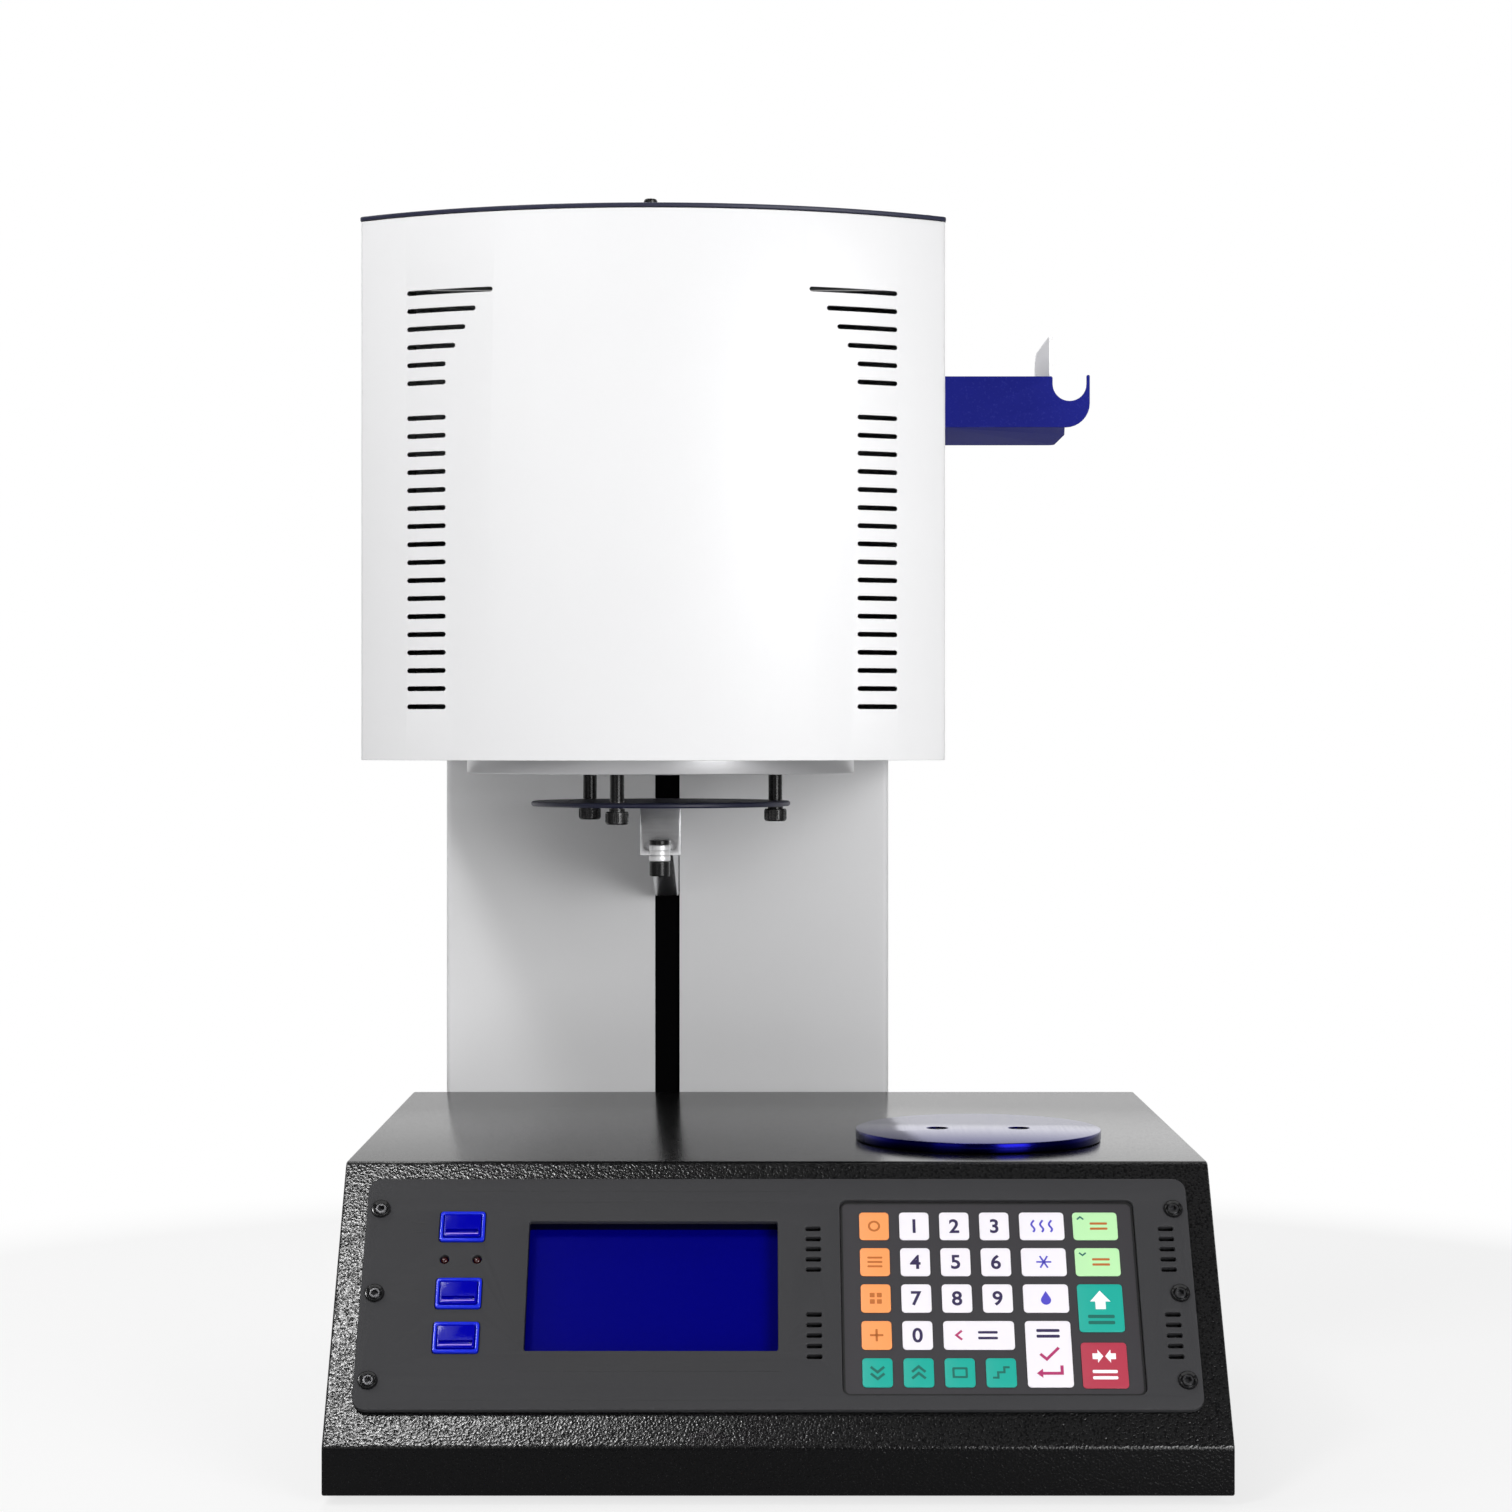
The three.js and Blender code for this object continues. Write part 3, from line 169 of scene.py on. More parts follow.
class EffectLibrary:
    """Builds each shared shader group once and hands it out."""

    @classmethod
    @cache
    def get(cls, effect: SurfaceEffect) -> Tree:
        """The node group of an effect, built on first use."""
        return getattr(cls, "_" + effect.value)(effect.value.replace("_", " "))

    @staticmethod
    def _start(name: str, inputs: dict[str, object], *outputs: str) -> tuple[Graph, dict, dict]:
        """Opens a shader group that takes coordinates."""
        return open_group("ShaderNodeTree", name, {"Coordinates": None, **inputs}, *outputs)

    @classmethod
    def _tone_drift(cls, name: str) -> Tree:
        """A colour that drifts a little lighter and darker across the piece."""
        inputs = {"Colour": (0.5, 0.5, 0.5, 1.0), "Amount": 0.05, "Scale": 15.0}
        graph, given, out = cls._start(name, inputs, "Colour")
        swing = graph.sum("MULTIPLY", graph.sum("SUBTRACT", graph.noise(given, 3.0), 0.5), given["Amount"])
        value = graph.sum("MULTIPLY_ADD", swing, 2.0, 1.0)
        shade = graph.add("ShaderNodeHueSaturation", {"Color": given["Colour"], "Value": value})
        graph.link(shade.outputs[0], out["Colour"])
        return graph.tree

    @classmethod
    def _powder_grain(cls, name: str) -> Tree:
        """The orange-peel height of a powder coat, and its peaks, where glints are painted."""
        graph, given, out = cls._start(name, {"Scale": 900.0}, "Height", "Fleck")
        noise = graph.noise(given, 2.0)
        cells = graph.add("ShaderNodeTexVoronoi", {"Vector": given["Coordinates"], "Scale": given["Scale"]})
        graph.link(graph.sum("MULTIPLY_ADD", cells.outputs["Distance"], 0.5, noise), out["Height"])
        # The grain's peaks: pale specks are painted there as glints.
        graph.link(graph.remap(noise, 0.56, 0.72), out["Fleck"])
        return graph.tree

    @classmethod
    def _brushed_lines(cls, name: str) -> Tree:
        """Fine lines that run along one axis, as height."""
        graph, given, out = cls._start(name, {"Stretch": WHITE, "Scale": 900.0}, "Height")
        stretch = {0: given["Coordinates"], 1: given["Stretch"]}
        stretched = graph.add("ShaderNodeVectorMath", stretch, operation="MULTIPLY").outputs[0]
        graph.link(graph.noise({**given, "Coordinates": stretched}, 4.0), out["Height"])
        return graph.tree

    @classmethod
    def _edge_wear(cls, name: str) -> Tree:
        """A mask along outer edges, broken up by noise: scuffs, and painted highlight on lit edges."""
        graph, given, out = cls._start(name, {"Amount": 0.3, "Scale": 120.0}, "Mask")
        soft = graph.add("ShaderNodeBevel", {"Radius": 1.2 * MM}, samples=4)
        plain = graph.add("ShaderNodeNewGeometry").outputs["Normal"]
        turn = graph.add("ShaderNodeVectorMath", {0: soft.outputs[0], 1: plain}, operation="DOT_PRODUCT")
        edge = graph.remap(graph.sum("SUBTRACT", 1.0, turn.outputs["Value"]), 0.02, 0.2)
        return cls._mask(graph, given, out, edge, graph.remap(graph.noise(given, 5.0), 0.42, 0.68))

    @classmethod
    def _settled_dust(cls, name: str) -> Tree:
        """A mask of fine dust on what faces up."""
        graph, given, out = cls._start(name, {"Amount": 0.1, "Scale": 40.0}, "Mask")
        level = graph.remap(graph.upward("Normal"), 0.5, 1.0)
        return cls._mask(graph, given, out, level, graph.remap(graph.noise(given, 8.0), 0.35, 0.7))

    @staticmethod
    def _mask(graph: Graph, given: dict, out: dict, area: Socket, patches: Socket) -> Tree:
        """Ends a mask group: patches within an area, times the amount.

        Args:
            graph: the group's nodes.
            given: its inputs.
            out: its outputs.
            area: where the mask may lie.
            patches: how it is broken up there.

        Returns:
            The group.
        """
        mask = graph.sum("MULTIPLY", graph.sum("MULTIPLY", area, patches), given["Amount"])
        graph.link(mask, out["Mask"])
        return graph.tree


@dataclass(frozen=True)
class Finish:
    """A surface finish. Grain and brushing depths are in millimetres."""

    name: str
    slot: str
    colour: Colour
    roughness: float
    metallic: float = 0.0
    specular: float = 0.5
    coat: float = 0.0
    drift: float = 0.05
    drift_scale: float = 15.0
    grain_scale: float = 900.0
    grain_depth: float = 0.0
    fleck: float = 0.0
    brush: Colour | None = None
    brush_depth: float = 0.01
    rough_swing: float = 0.08
    wear: float = 0.0
    wear_colour: Colour = (0.3, 0.3, 0.3)
    dust: float = 0.0
    dust_colour: Colour = rgb(190, 188, 184)
    level_calm: float = 0.0
    facing_coat: float = 0.0
    coat_ior: float = 1.5
    sparkle: float = 0.0
    sparkle_band: tuple[float, float] = (0.55, 0.8)

    @staticmethod
    def effect(graph: Graph, effect: SurfaceEffect, where: Socket, **inputs) -> bpy.types.Node:
        """Places a shared effect in the material with its own values."""
        inputs = {"Coordinates": where, **inputs}
        return graph.add("ShaderNodeGroup", inputs, node_tree=EffectLibrary.get(effect))

    def base_colour(self, graph: Graph, where: Socket) -> Socket:
        """The plain colour of the finish, before painted glints, pale edges and dust."""
        inputs = {"Colour": (*self.colour, 1.0), "Amount": self.drift, "Scale": self.drift_scale}
        return self.effect(graph, SurfaceEffect.DRIFT, where, **inputs).outputs["Colour"]

    def height(self, graph: Graph, where: Socket) -> tuple[Socket, float]:
        """The relief of the finish and its depth in millimetres.

        Args:
            graph: the material's nodes.
            where: the coordinates that it is drawn on.

        Returns:
            The height's socket and the depth.
        """
        if self.brush:
            node = self.effect(graph, SurfaceEffect.BRUSH, where, Stretch=(*self.brush, 1.0))
            return node.outputs["Height"], self.brush_depth
        node = self.effect(graph, SurfaceEffect.GRAIN, where, Scale=self.grain_scale)
        return node.outputs["Height"], self.grain_depth

    def constants(self) -> dict[str, float]:
        """The shader's plain values by socket."""
        values = {"Metallic": self.metallic, "Coat Weight": self.coat, "Specular IOR Level": self.specular}
        if self.facing_coat:
            values |= {"Coat Roughness": self.roughness, "Coat IOR": self.coat_ior}
        return values

    def build(self) -> bpy.types.Material:
        """The finished material, made on first use."""
        if self.name in bpy.data.materials:
            return bpy.data.materials[self.name]
        material = bpy.data.materials.new(self.name)
        material.use_nodes = True
        graph = Graph(material.node_tree)
        shader = material.node_tree.nodes["Principled BSDF"]
        for label, value in self.constants().items():
            shader.inputs[label].default_value = value
        where = graph.add("ShaderNodeTexCoord").outputs["Object"]
        relief, depth = self.height(graph, where)
        swing = graph.sum("SUBTRACT", relief, 0.5)
        rough = graph.sum("MULTIPLY_ADD", swing, self.rough_swing, self.roughness)
        wires = {"Base Color": self._toned(graph, where), "Roughness": rough}
        if depth:
            wires["Normal"] = self._bump(graph, relief, depth)
        if self.facing_coat:
            wires |= {"Coat Weight": self._coat(graph, relief), "Coat Normal": wires["Normal"]}
        for label, output in wires.items():
            graph.link(output, shader.inputs[label])
        return material

    def _toned(self, graph: Graph, where: Socket) -> Socket:
        """The colour with its painted glints, its pale edges (scuffs and painted highlight) and its dust.

        Args:
            graph: the material's nodes.
            where: the coordinates that it is drawn on.

        Returns:
            The colour's socket.
        """
        colour = self.base_colour(graph, where)
        pale_tint = (*self.wear_colour, 1.0)
        # Pale specks on the grain's peaks are painted glints.
        if self.fleck:
            painted_glints = self.effect(graph, SurfaceEffect.GRAIN, where, Scale=self.grain_scale).outputs["Fleck"]
            colour = graph.blend(graph.sum("MULTIPLY", painted_glints, self.fleck), colour, pale_tint)
        dusty = (*self.dust_colour, 1.0)
        # The edge mask's pale tint is scuffing and, on the black coat, a painted highlight of lit edges.
        for effect, amount, tint in (
            (SurfaceEffect.WEAR, self.wear, pale_tint), (SurfaceEffect.DUST, self.dust, dusty),
        ):
            if amount:
                mask = self.effect(graph, effect, where, Amount=amount).outputs["Mask"]
                colour = graph.blend(mask, colour, tint)
        return colour

    def _bump(self, graph: Graph, height: Socket, depth: float) -> Socket:
        """The relief as a normal, calmer on level surfaces where the finish says so.

        Args:
            graph: the material's nodes.
            height: the relief's socket.
            depth: its depth in millimetres.

        Returns:
            The normal's socket.
        """
        if self.level_calm:
            level = graph.remap(graph.upward("True Normal"), 0.7, 0.95)
            calm = graph.sum("MULTIPLY", level, self.level_calm)
            height = graph.sum("MULTIPLY", height, graph.sum("SUBTRACT", 1.0, calm))
        return graph.add("ShaderNodeBump", {"Height": height, "Distance": depth * MM}).outputs[0]

    def _coat(self, graph: Graph, relief: Socket) -> Socket:
        """How glossy each grain of a slope is: not level surfaces, and not upright ones.

        Args:
            graph: the material's nodes.
            relief: the relief's socket.

        Returns:
            The coat's weight.
        """
        upward = graph.upward("True Normal")
        sloping = graph.sum("SUBTRACT", graph.remap(upward, 0.2, 0.5), graph.remap(upward, 0.75, 0.95))
        peaks = graph.remap(relief, *self.sparkle_band)
        grains = graph.sum("MULTIPLY_ADD", peaks, self.sparkle, 1.0 - self.sparkle)
        return graph.sum("MULTIPLY", sloping, graph.sum("MULTIPLY", grains, self.facing_coat))


@dataclass(frozen=True)
class DisplayFinish(Finish):
    """An unlit graphic display: a grid of dots under glass, on a panel that leans back."""

    dot_pitch: float = 0.45
    dot_gap_share: float = 0.12
    dot_gap_colour: Colour = (0.0, 0.0, 0.1)

    def base_colour(self, graph: Graph, where: Socket) -> Socket:
        """The panel's blue, with thin darker lines between its dots.

        Args:
            graph: the material's nodes.
            where: the coordinates that it is drawn on.

        Returns:
            The colour's socket.
        """
        blue = super().base_colour(graph, where)
        flat = graph.add("ShaderNodeMapping", {"Vector": where, "Rotation": (-SLOPE_ANGLE, 0.0, 0.0)})
        split = graph.add("ShaderNodeSeparateXYZ", {0: flat.outputs[0]})
        lines = []
        for axis in "XY":
            step = graph.sum("FRACT", graph.sum("DIVIDE", split.outputs[axis], self.dot_pitch * MM))
            lines.append(graph.sum("LESS_THAN", step, self.dot_gap_share))
        return graph.blend(graph.sum("MAXIMUM", *lines), blue, (*self.dot_gap_colour, 1.0))


@dataclass(frozen=True)
class QuartzFinish(Finish):
    """Milky quartz that lets some light through."""

    transmission: float = 0.5

    def constants(self) -> dict[str, float]:
        """Adds the transmission of quartz."""
        return super().constants() | {"Transmission Weight": self.transmission}


def key_film(name: str, colour: Colour, drift: float = 0.02) -> Finish:
    """The printed film of a key."""
    return Finish(name, "keypad_film", colour, 0.45, grain_depth=0.006, drift=drift)


def keypad_colour(name: str, colour: Colour, drift: float = 0.02) -> Finish:
    """A flat colour on the keypad: its inks, and the black of the painted shade round its sheet."""
    return Finish(name, "keypad_film", colour, 0.5, drift=drift)


TURNED = (0.05, 0.05, 1.0)
"""How brushed lines stretch on a turned piece."""
# Its pale edges are part scuffs and part painted highlight; its pale specks are painted glints.
BLACK_COAT = Finish(
    "black powder coat", "black_powder_coat", rgb(8, 8, 9), 0.18, specular=0.12, facing_coat=1.0,
    coat_ior=1.62, sparkle=0.85, grain_depth=0.2, grain_scale=850.0, level_calm=0.97, fleck=0.02, wear=0.2,
    wear_colour=rgb(90, 90, 90), dust=0.01, rough_swing=0.1,
)
FASCIA_COAT = Finish(
    "fascia coat", "fascia_coat", rgb(56, 56, 58), 0.6, grain_depth=0.02, grain_scale=2500.0, specular=0.2,
    wear=0.25, wear_colour=rgb(110, 110, 112), drift=0.04,
)
WHITE_COAT = Finish(
    "white powder coat", "white_powder_coat", rgb(226, 226, 227), 0.38, grain_depth=0.015,
    grain_scale=500.0, drift=0.012, rough_swing=0.05, wear=0.05, wear_colour=rgb(190, 190, 190),
)
NAVY_COAT = Finish(
    "navy coat", "navy_powder_coat", rgb(22, 25, 52), 0.45, grain_depth=0.03, wear=0.04, dust=0.03,
    drift=0.03, wear_colour=rgb(70, 70, 84),
)
# Its pale specks are painted glints on the grain's peaks.
BLUE_COAT = Finish(
    "blue powder coat", "blue_powder_coat", rgb(20, 27, 122), 0.7, specular=0.12, grain_depth=0.06,
    wear=0.3, wear_colour=rgb(90, 96, 180), drift=0.1, fleck=0.08,
)
BLUE_ANODISED = Finish(
    "blue anodised", "blue_anodised", rgb(9, 9, 88), 0.2, metallic=1.0, brush=(1.0, 0.02, 1.0),
    brush_depth=0.002,
)
ALUMINIUM = Finish(
    "machined aluminium", "bare_aluminium", rgb(214, 214, 216), 0.22, metallic=1.0, brush=TURNED, drift=0.06
)
FLANGE_METAL = Finish(
    "turned flange", "bare_aluminium", rgb(190, 190, 192), 0.3, metallic=1.0, brush=TURNED, drift=0.1
)
SATIN_RING = Finish("satin ring", "bare_aluminium", rgb(235, 235, 236), 0.45, metallic=0.6, brush=TURNED)
ZINC = Finish(
    "zinc sheet", "zinc_sheet", rgb(170, 172, 174), 0.4, metallic=1.0, grain_depth=0.01, grain_scale=60.0,
    drift=0.12, drift_scale=60.0,
)
BRIGHT_STEEL = Finish(
    "ground steel", "bright_steel", rgb(168, 168, 170), 0.33, metallic=1.0, brush=(1.0, 1.0, 0.04),
    brush_depth=0.008,
)
PALE_STEEL = Finish(
    "satin sheet", "pale_steel", rgb(250, 250, 250), 0.45, brush=(1.0, 0.03, 1.0), brush_depth=0.006
)
BLACK_STEEL = Finish(
    "blackened steel", "black_steel", rgb(20, 20, 21), 0.25, metallic=0.4, grain_depth=0.01,
    grain_scale=1500.0, wear=0.5, wear_colour=rgb(150, 150, 150),
)
SCREW_STEEL = Finish(
    "socket steel", "black_steel", rgb(84, 84, 86), 0.35, metallic=0.9, grain_depth=0.01, wear=0.3,
    wear_colour=rgb(170, 170, 170),
)
CUP_BLACK = Finish(
    "polished black", "black_steel", rgb(10, 10, 11), 0.14, coat=0.5, grain_depth=0.005, wear=0.2,
    wear_colour=rgb(90, 90, 90),
)
BLACK_PLASTIC = Finish(
    "black moulding", "black_plastic", rgb(20, 20, 22), 0.45, grain_depth=0.03, grain_scale=1800.0,
    dust=0.05,
)
BLACK_FELT = Finish("slot felt", "black_plastic", rgb(5, 5, 6), 0.95, specular=0.03, grain_depth=0.05)
BLACK_FOAM = Finish(
    "filter foam", "foot_rubber", rgb(18, 18, 18), 0.95, grain_depth=0.6, grain_scale=600.0
)
RUBBER = Finish("foot rubber", "foot_rubber", rgb(24, 24, 24), 0.85, grain_depth=0.05, dust=0.2)
SEAL = Finish("seal rubber", "seal_rubber", rgb(140, 48, 36), 0.7, grain_depth=0.02)
CAP_BLUE = Finish("blue key cap", "button_blue", rgb(0, 0, 160), 0.1, specular=0.12, drift=0.03)
# A painted highlight: the pale lit edge of the ledge under each cap's groove.
HIGHLIGHT_VIOLET = Finish("violet line", "button_blue", rgb(142, 112, 222), 0.3)
BEZEL_BLUE = Finish("blue bezel", "bezel_blue", rgb(22, 42, 215), 0.12, specular=0.4, drift=0.03)
KEY_WHITE = key_film("white key", rgb(240, 236, 242), 0.015)
KEY_ORANGE = key_film("orange key", rgb(252, 158, 92))
KEY_TEAL = key_film("teal key", rgb(10, 168, 152))
KEY_GREEN = key_film("green key", rgb(186, 236, 176))
KEY_RED = key_film("red key", rgb(178, 52, 74))
FILM = Finish(
    "keypad ground", "keypad_film", rgb(48, 46, 50), 0.5, grain_depth=0.01, grain_scale=2500.0
)
INK_NAVY = keypad_colour("navy ink", rgb(44, 30, 78))
INK_BLUE = keypad_colour("blue ink", rgb(78, 70, 196))
INK_CRIMSON = keypad_colour("crimson ink", rgb(176, 44, 104))
INK_RUST = keypad_colour("rust ink", rgb(186, 104, 40))
INK_PINE = keypad_colour("pine ink", rgb(8, 104, 92))
# Painted shade: the black of the ring round the keypad's sheet, standing for the recess's shadow.
SHADE_BLACK = keypad_colour("black ink", rgb(9, 9, 10))
INK_WHITE = keypad_colour("white ink", rgb(250, 246, 250), 0.01)
INK_GREY = Finish("grey ink", "fascia_coat", rgb(38, 38, 40), 0.6, drift=0.02)
LED_RED = Finish("red lens", "led_red", rgb(52, 5, 10), 0.1, coat=0.6, drift=0.02)
DISPLAY = DisplayFinish(
    "unlit display", "display_blue", rgb(0, 0, 118), 0.3, specular=0.03, drift=0.08, drift_scale=12.0
)
DISPLAY_EDGE = Finish("display edge", "display_blue", rgb(4, 4, 10), 0.4, specular=0.2)
BOARD_GREEN = Finish("circuit board", "circuit_board", rgb(16, 90, 52), 0.4, coat=0.3, grain_depth=0.01)
COPPER = Finish(
    "winding copper", "winding_copper", rgb(176, 106, 54), 0.35, metallic=0.9, brush=(1.0, 1.0, 0.05)
)
FIBRE = Finish(
    "ceramic fibre", "ceramic_fibre", rgb(240, 236, 226), 0.95, grain_depth=0.3, grain_scale=350.0
)
CERAMIC = Finish(
    "fired ceramic", "fired_ceramic", rgb(232, 218, 196), 0.75, grain_depth=0.08, grain_scale=600.0
)
QUARTZ = QuartzFinish("milky quartz", "fused_quartz", rgb(228, 226, 220), 0.25, drift=0.04)


def rounded(outline: Sequence[tuple[float, ...]], steps: int = 5) -> Loop:
    """A polygon whose corners are rounded by arcs.

    Args:
        outline: x, y and, where the corner is rounded, its radius.
        steps: how many pieces each arc has.

    Returns:
        The outline's points.
    """
    points: Loop = []
    for index, (x, y, *radius) in enumerate(outline):
        here = Vector((x, y))
        if not any(radius):
            points.append(tuple(here))
            continue
        before = (Vector(outline[index - 1][:2]) - here).normalized()
        after = (Vector(outline[(index + 1) % len(outline)][:2]) - here).normalized()
        half = before.angle(after) / 2
        reach = radius[0] / math.tan(half)
        middle = here + (before + after).normalized() * (radius[0] / math.sin(half))
        start = here + before * reach - middle
        sweep = start.angle_signed(here + after * reach - middle)
        for step in range(steps + 1):
            points.append(tuple(Matrix.Rotation(-sweep * step / steps, 2) @ start + middle))
    return points


def rounded_rect(x0: float, x1: float, y0: float, y1: float, radius: float, steps: int = 5) -> Loop:
    """A rectangle with rounded corners."""
    return rounded([(x0, y0, radius), (x1, y0, radius), (x1, y1, radius), (x0, y1, radius)], steps)


def circle(x: float, y: float, radius: float, sides: int = 32) -> Loop:
    """A regular outline round a point."""
    angles = [2 * math.pi * step / sides for step in range(sides)]
    return [(x + radius * math.cos(a), y + radius * math.sin(a)) for a in angles]


def stroke(points: Sequence[Point], width: float) -> Loop:
    """The outline of a line of some width drawn along a few points.

    Args:
        points: what the line passes through.
        width: its width.

    Returns:
        The outline's points.
    """
    sides: tuple[Loop, Loop] = ([], [])
    last = len(points) - 1
    for index, point in enumerate(points):
        here = Vector(point)
        ahead = (Vector(points[min(index + 1, last)]) - here).normalized()
        behind = (here - Vector(points[max(index - 1, 0)])).normalized()
        along = (ahead + behind).normalized()
        miter = max(along.dot(ahead if index < last else behind), 0.5)
        across = Vector((-along.y, along.x)) * (width / 2 / miter)
        sides[0].append(tuple(here + across))
        sides[1].append(tuple(here - across))
    return sides[0] + sides[1][::-1]


def welded(mesh: Mesh, distance: float = 1e-4) -> Mesh:
    """The mesh with its doubled points merged and its faces turned outwards.

    Args:
        mesh: the mesh, which is changed.
        distance: how near two points count as one.

    Returns:
        The mesh.
    """
    work = bmesh.new()
    work.from_mesh(mesh)
    bmesh.ops.remove_doubles(work, verts=work.verts, dist=distance)
    bmesh.ops.dissolve_degenerate(work, edges=work.edges, dist=distance)
    bmesh.ops.recalc_face_normals(work, faces=work.faces)
    return drawn(work, mesh)


def drawn(work: bmesh.types.BMesh, mesh: Mesh | None = None) -> Mesh:
    """What was drawn, as a mesh of its own or in the one given.

    Args:
        work: what was drawn, which is freed.
        mesh: the mesh to fill, if not a new one.

    Returns:
        The mesh.
    """
    mesh = mesh or bpy.data.meshes.new("drawn")
    work.to_mesh(mesh)
    work.free()
    return mesh


def curve_mesh(curve: bpy.types.Curve) -> Mesh:
    """The mesh of a curve that isn't needed any more."""
    holder = bpy.data.objects.new("curve", curve)
    mesh = bpy.data.meshes.new_from_object(holder)
    bpy.data.objects.remove(holder)
    bpy.data.curves.remove(curve)
    return mesh


def plate(loops: Sequence[Loop], low: float, high: float, edge: float = 0.0, steps: int = 2) -> Mesh:
    """A flat solid whose outline may have holes and islands.

    Args:
        loops: closed outlines; one inside another is a hole.
        low: the underside's height.
        high: the top's height.
        edge: how far the sharp edges are rounded.
        steps: how fine that rounding is.

    Returns:
        The closed mesh.
    """
    curve = bpy.data.curves.new("outline", "CURVE")
    curve.dimensions = "2D"
    curve.fill_mode = "BOTH"
    curve.extrude = (high - low) / 2 - edge
    curve.bevel_depth = edge
    curve.bevel_resolution = steps
    curve.offset = -edge
    for loop in loops:
        spline = curve.splines.new("POLY")
        spline.points.add(len(loop) - 1)
        for point, (x, y) in zip(spline.points, loop):
            point.co = (x, y, 0.0, 1.0)
        spline.use_cyclic_u = True
    return welded(moved(curve_mesh(curve), (0.0, 0.0, (low + high) / 2)))


def lettering(text: str, height: float, low: float, high: float) -> Mesh:
    """Plain characters as a flat solid, centred on the origin.

    Args:
        text: the characters.
        height: a capital's height.
        low: the underside's height.
        high: the top's height.

    Returns:
        The closed mesh.
    """
    curve = bpy.data.curves.new("character", "FONT")
    curve.body = text
    curve.size = height / CAP_SHARE
    curve.extrude = (high - low) / 2
    curve.offset = height * BOLD_SHARE
    mesh = curve_mesh(curve)
    middle = [-(min(along) + max(along)) / 2 for along in zip(*(v.co.xy for v in mesh.vertices))]
    return welded(moved(mesh, (*middle, (low + high) / 2)))


def turned(profile: Sequence[Point], sides: int = 48) -> Mesh:
    """A solid turned about the vertical axis.

    Args:
        profile: radius and height pairs, closed by the axis or by returning to its start.
        sides: how many flats it has round.

    Returns:
        The closed mesh.
    """
    work = bmesh.new()
    rings = []
    for radius, height in profile:
        if radius < 1e-6:
            rings.append([work.verts.new((0.0, 0.0, height))] * sides)
        else:
            rings.append([work.verts.new((x, y, height)) for x, y in circle(0.0, 0.0, radius, sides)])
    for lower, upper in zip(rings, rings[1:]):
        for step in range(sides):
            after = (step + 1) % sides
            unique = list(dict.fromkeys([lower[step], lower[after], upper[after], upper[step]]))
            if len(unique) > 2:
                work.faces.new(unique)
    return welded(drawn(work))


def block(low: Sequence[float], high: Sequence[float], edge: float = 0.0) -> Mesh:
    """A box from its two corners, with its edges rounded.

    Args:
        low: its low corner.
        high: its high corner.
        edge: how wide its bevels are.

    Returns:
        Its mesh.
    """
    work = bmesh.new()
    bmesh.ops.create_cube(work, size=1.0)
    for vert in work.verts:
        vert.co = [a + (c + 0.5) * (b - a) for a, b, c in zip(low, high, vert.co)]
    if edge:
        bmesh.ops.bevel(work, geom=list(work.edges), offset=edge, segments=2, profile=0.7, affect="EDGES")
    return drawn(work)


def moved(mesh: Mesh, place: Matrix | Sequence[float]) -> Mesh:
    """The mesh put somewhere else by a matrix or a shift."""
    mesh.transform(place if isinstance(place, Matrix) else Matrix.Translation(Vector(place)))
    return mesh


def merged(meshes: Iterable[Mesh]) -> Mesh:
    """Several meshes as one."""
    work = bmesh.new()
    for mesh in meshes:
        work.from_mesh(mesh)
    return drawn(work)


def evaluated(mesh: Mesh, prepare: Callable[[bpy.types.Object], None]) -> Mesh:
    """Runs modifiers on a mesh.

    Args:
        mesh: the mesh to work on.
        prepare: a function that adds modifiers to the object it is given.

    Returns:
        The resulting plain mesh.
    """
    holder = bpy.data.objects.new("work", mesh)
    bpy.context.scene.collection.objects.link(holder)
    prepare(holder)
    graph = bpy.context.evaluated_depsgraph_get()
    result = bpy.data.meshes.new_from_object(holder.evaluated_get(graph), depsgraph=graph)
    bpy.data.objects.remove(holder)
    return result


def combined(mesh: Mesh, others: Iterable[Mesh], how: str = "DIFFERENCE") -> Mesh:
    """Solids cut from a mesh or joined to it.

    Args:
        mesh: the mesh to start from.
        others: the solids.
        how: the boolean operation.

    Returns:
        The resulting mesh.
    """
    tool = bpy.data.objects.new("tool", merged(others))
    bpy.context.scene.collection.objects.link(tool)

    def prepare(holder: bpy.types.Object) -> None:
        """Adds the boolean."""
        modifier = holder.modifiers.new("cut", "BOOLEAN")
        modifier.operation = how
        modifier.solver = "EXACT"
        modifier.use_self = True
        modifier.object = tool

    result = evaluated(mesh, prepare)
    bpy.data.objects.remove(tool)
    return welded(result)


def corners(node: str) -> tuple[Vector, Vector]:
    """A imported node's lowest and highest corners in millimetres."""
    low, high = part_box(node)
    return low / MM, high / MM


def centre(node: str) -> Vector:
    """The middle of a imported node's box in millimetres."""
    low, high = corners(node)
    return (low + high) / 2


def standing(mesh: Mesh, node: str) -> Mesh:
    """A turned mesh stood on the foot of a node's own axis."""
    middle = centre(node)
    return moved(mesh, (middle.x, middle.y, corners(node)[0].z))


def hex_screw(profile: Sequence[Point], sides: int, key: float, floor: float, top: float) -> Mesh:
    """A turned screw head with a hexagon socket.

    Args:
        profile: the head's radius and height pairs.
        sides: how many flats it has round.
        key: the socket's radius over its corners.
        floor: the height of the socket's floor.
        top: a height above the head.

    Returns:
        The head's mesh.
    """
    return combined(turned(profile, sides), [plate([circle(0.0, 0.0, key, 6)], floor, top)])


def cross_screw(profile: Sequence[Point], sides: int, half: float, floor: float) -> Mesh:
    """A turned screw head with a cross recess.

    Args:
        profile: the head's radius and height pairs.
        sides: how many flats it has round.
        half: half the width of the recess.
        floor: the height of the recess's floor.

    Returns:
        The head's mesh.
    """
    arms = [block((-x, -y, floor), (x, y, 3.0)) for x, y in ((half, 2.0), (2.0, half))]
    return combined(turned(profile, sides), arms)


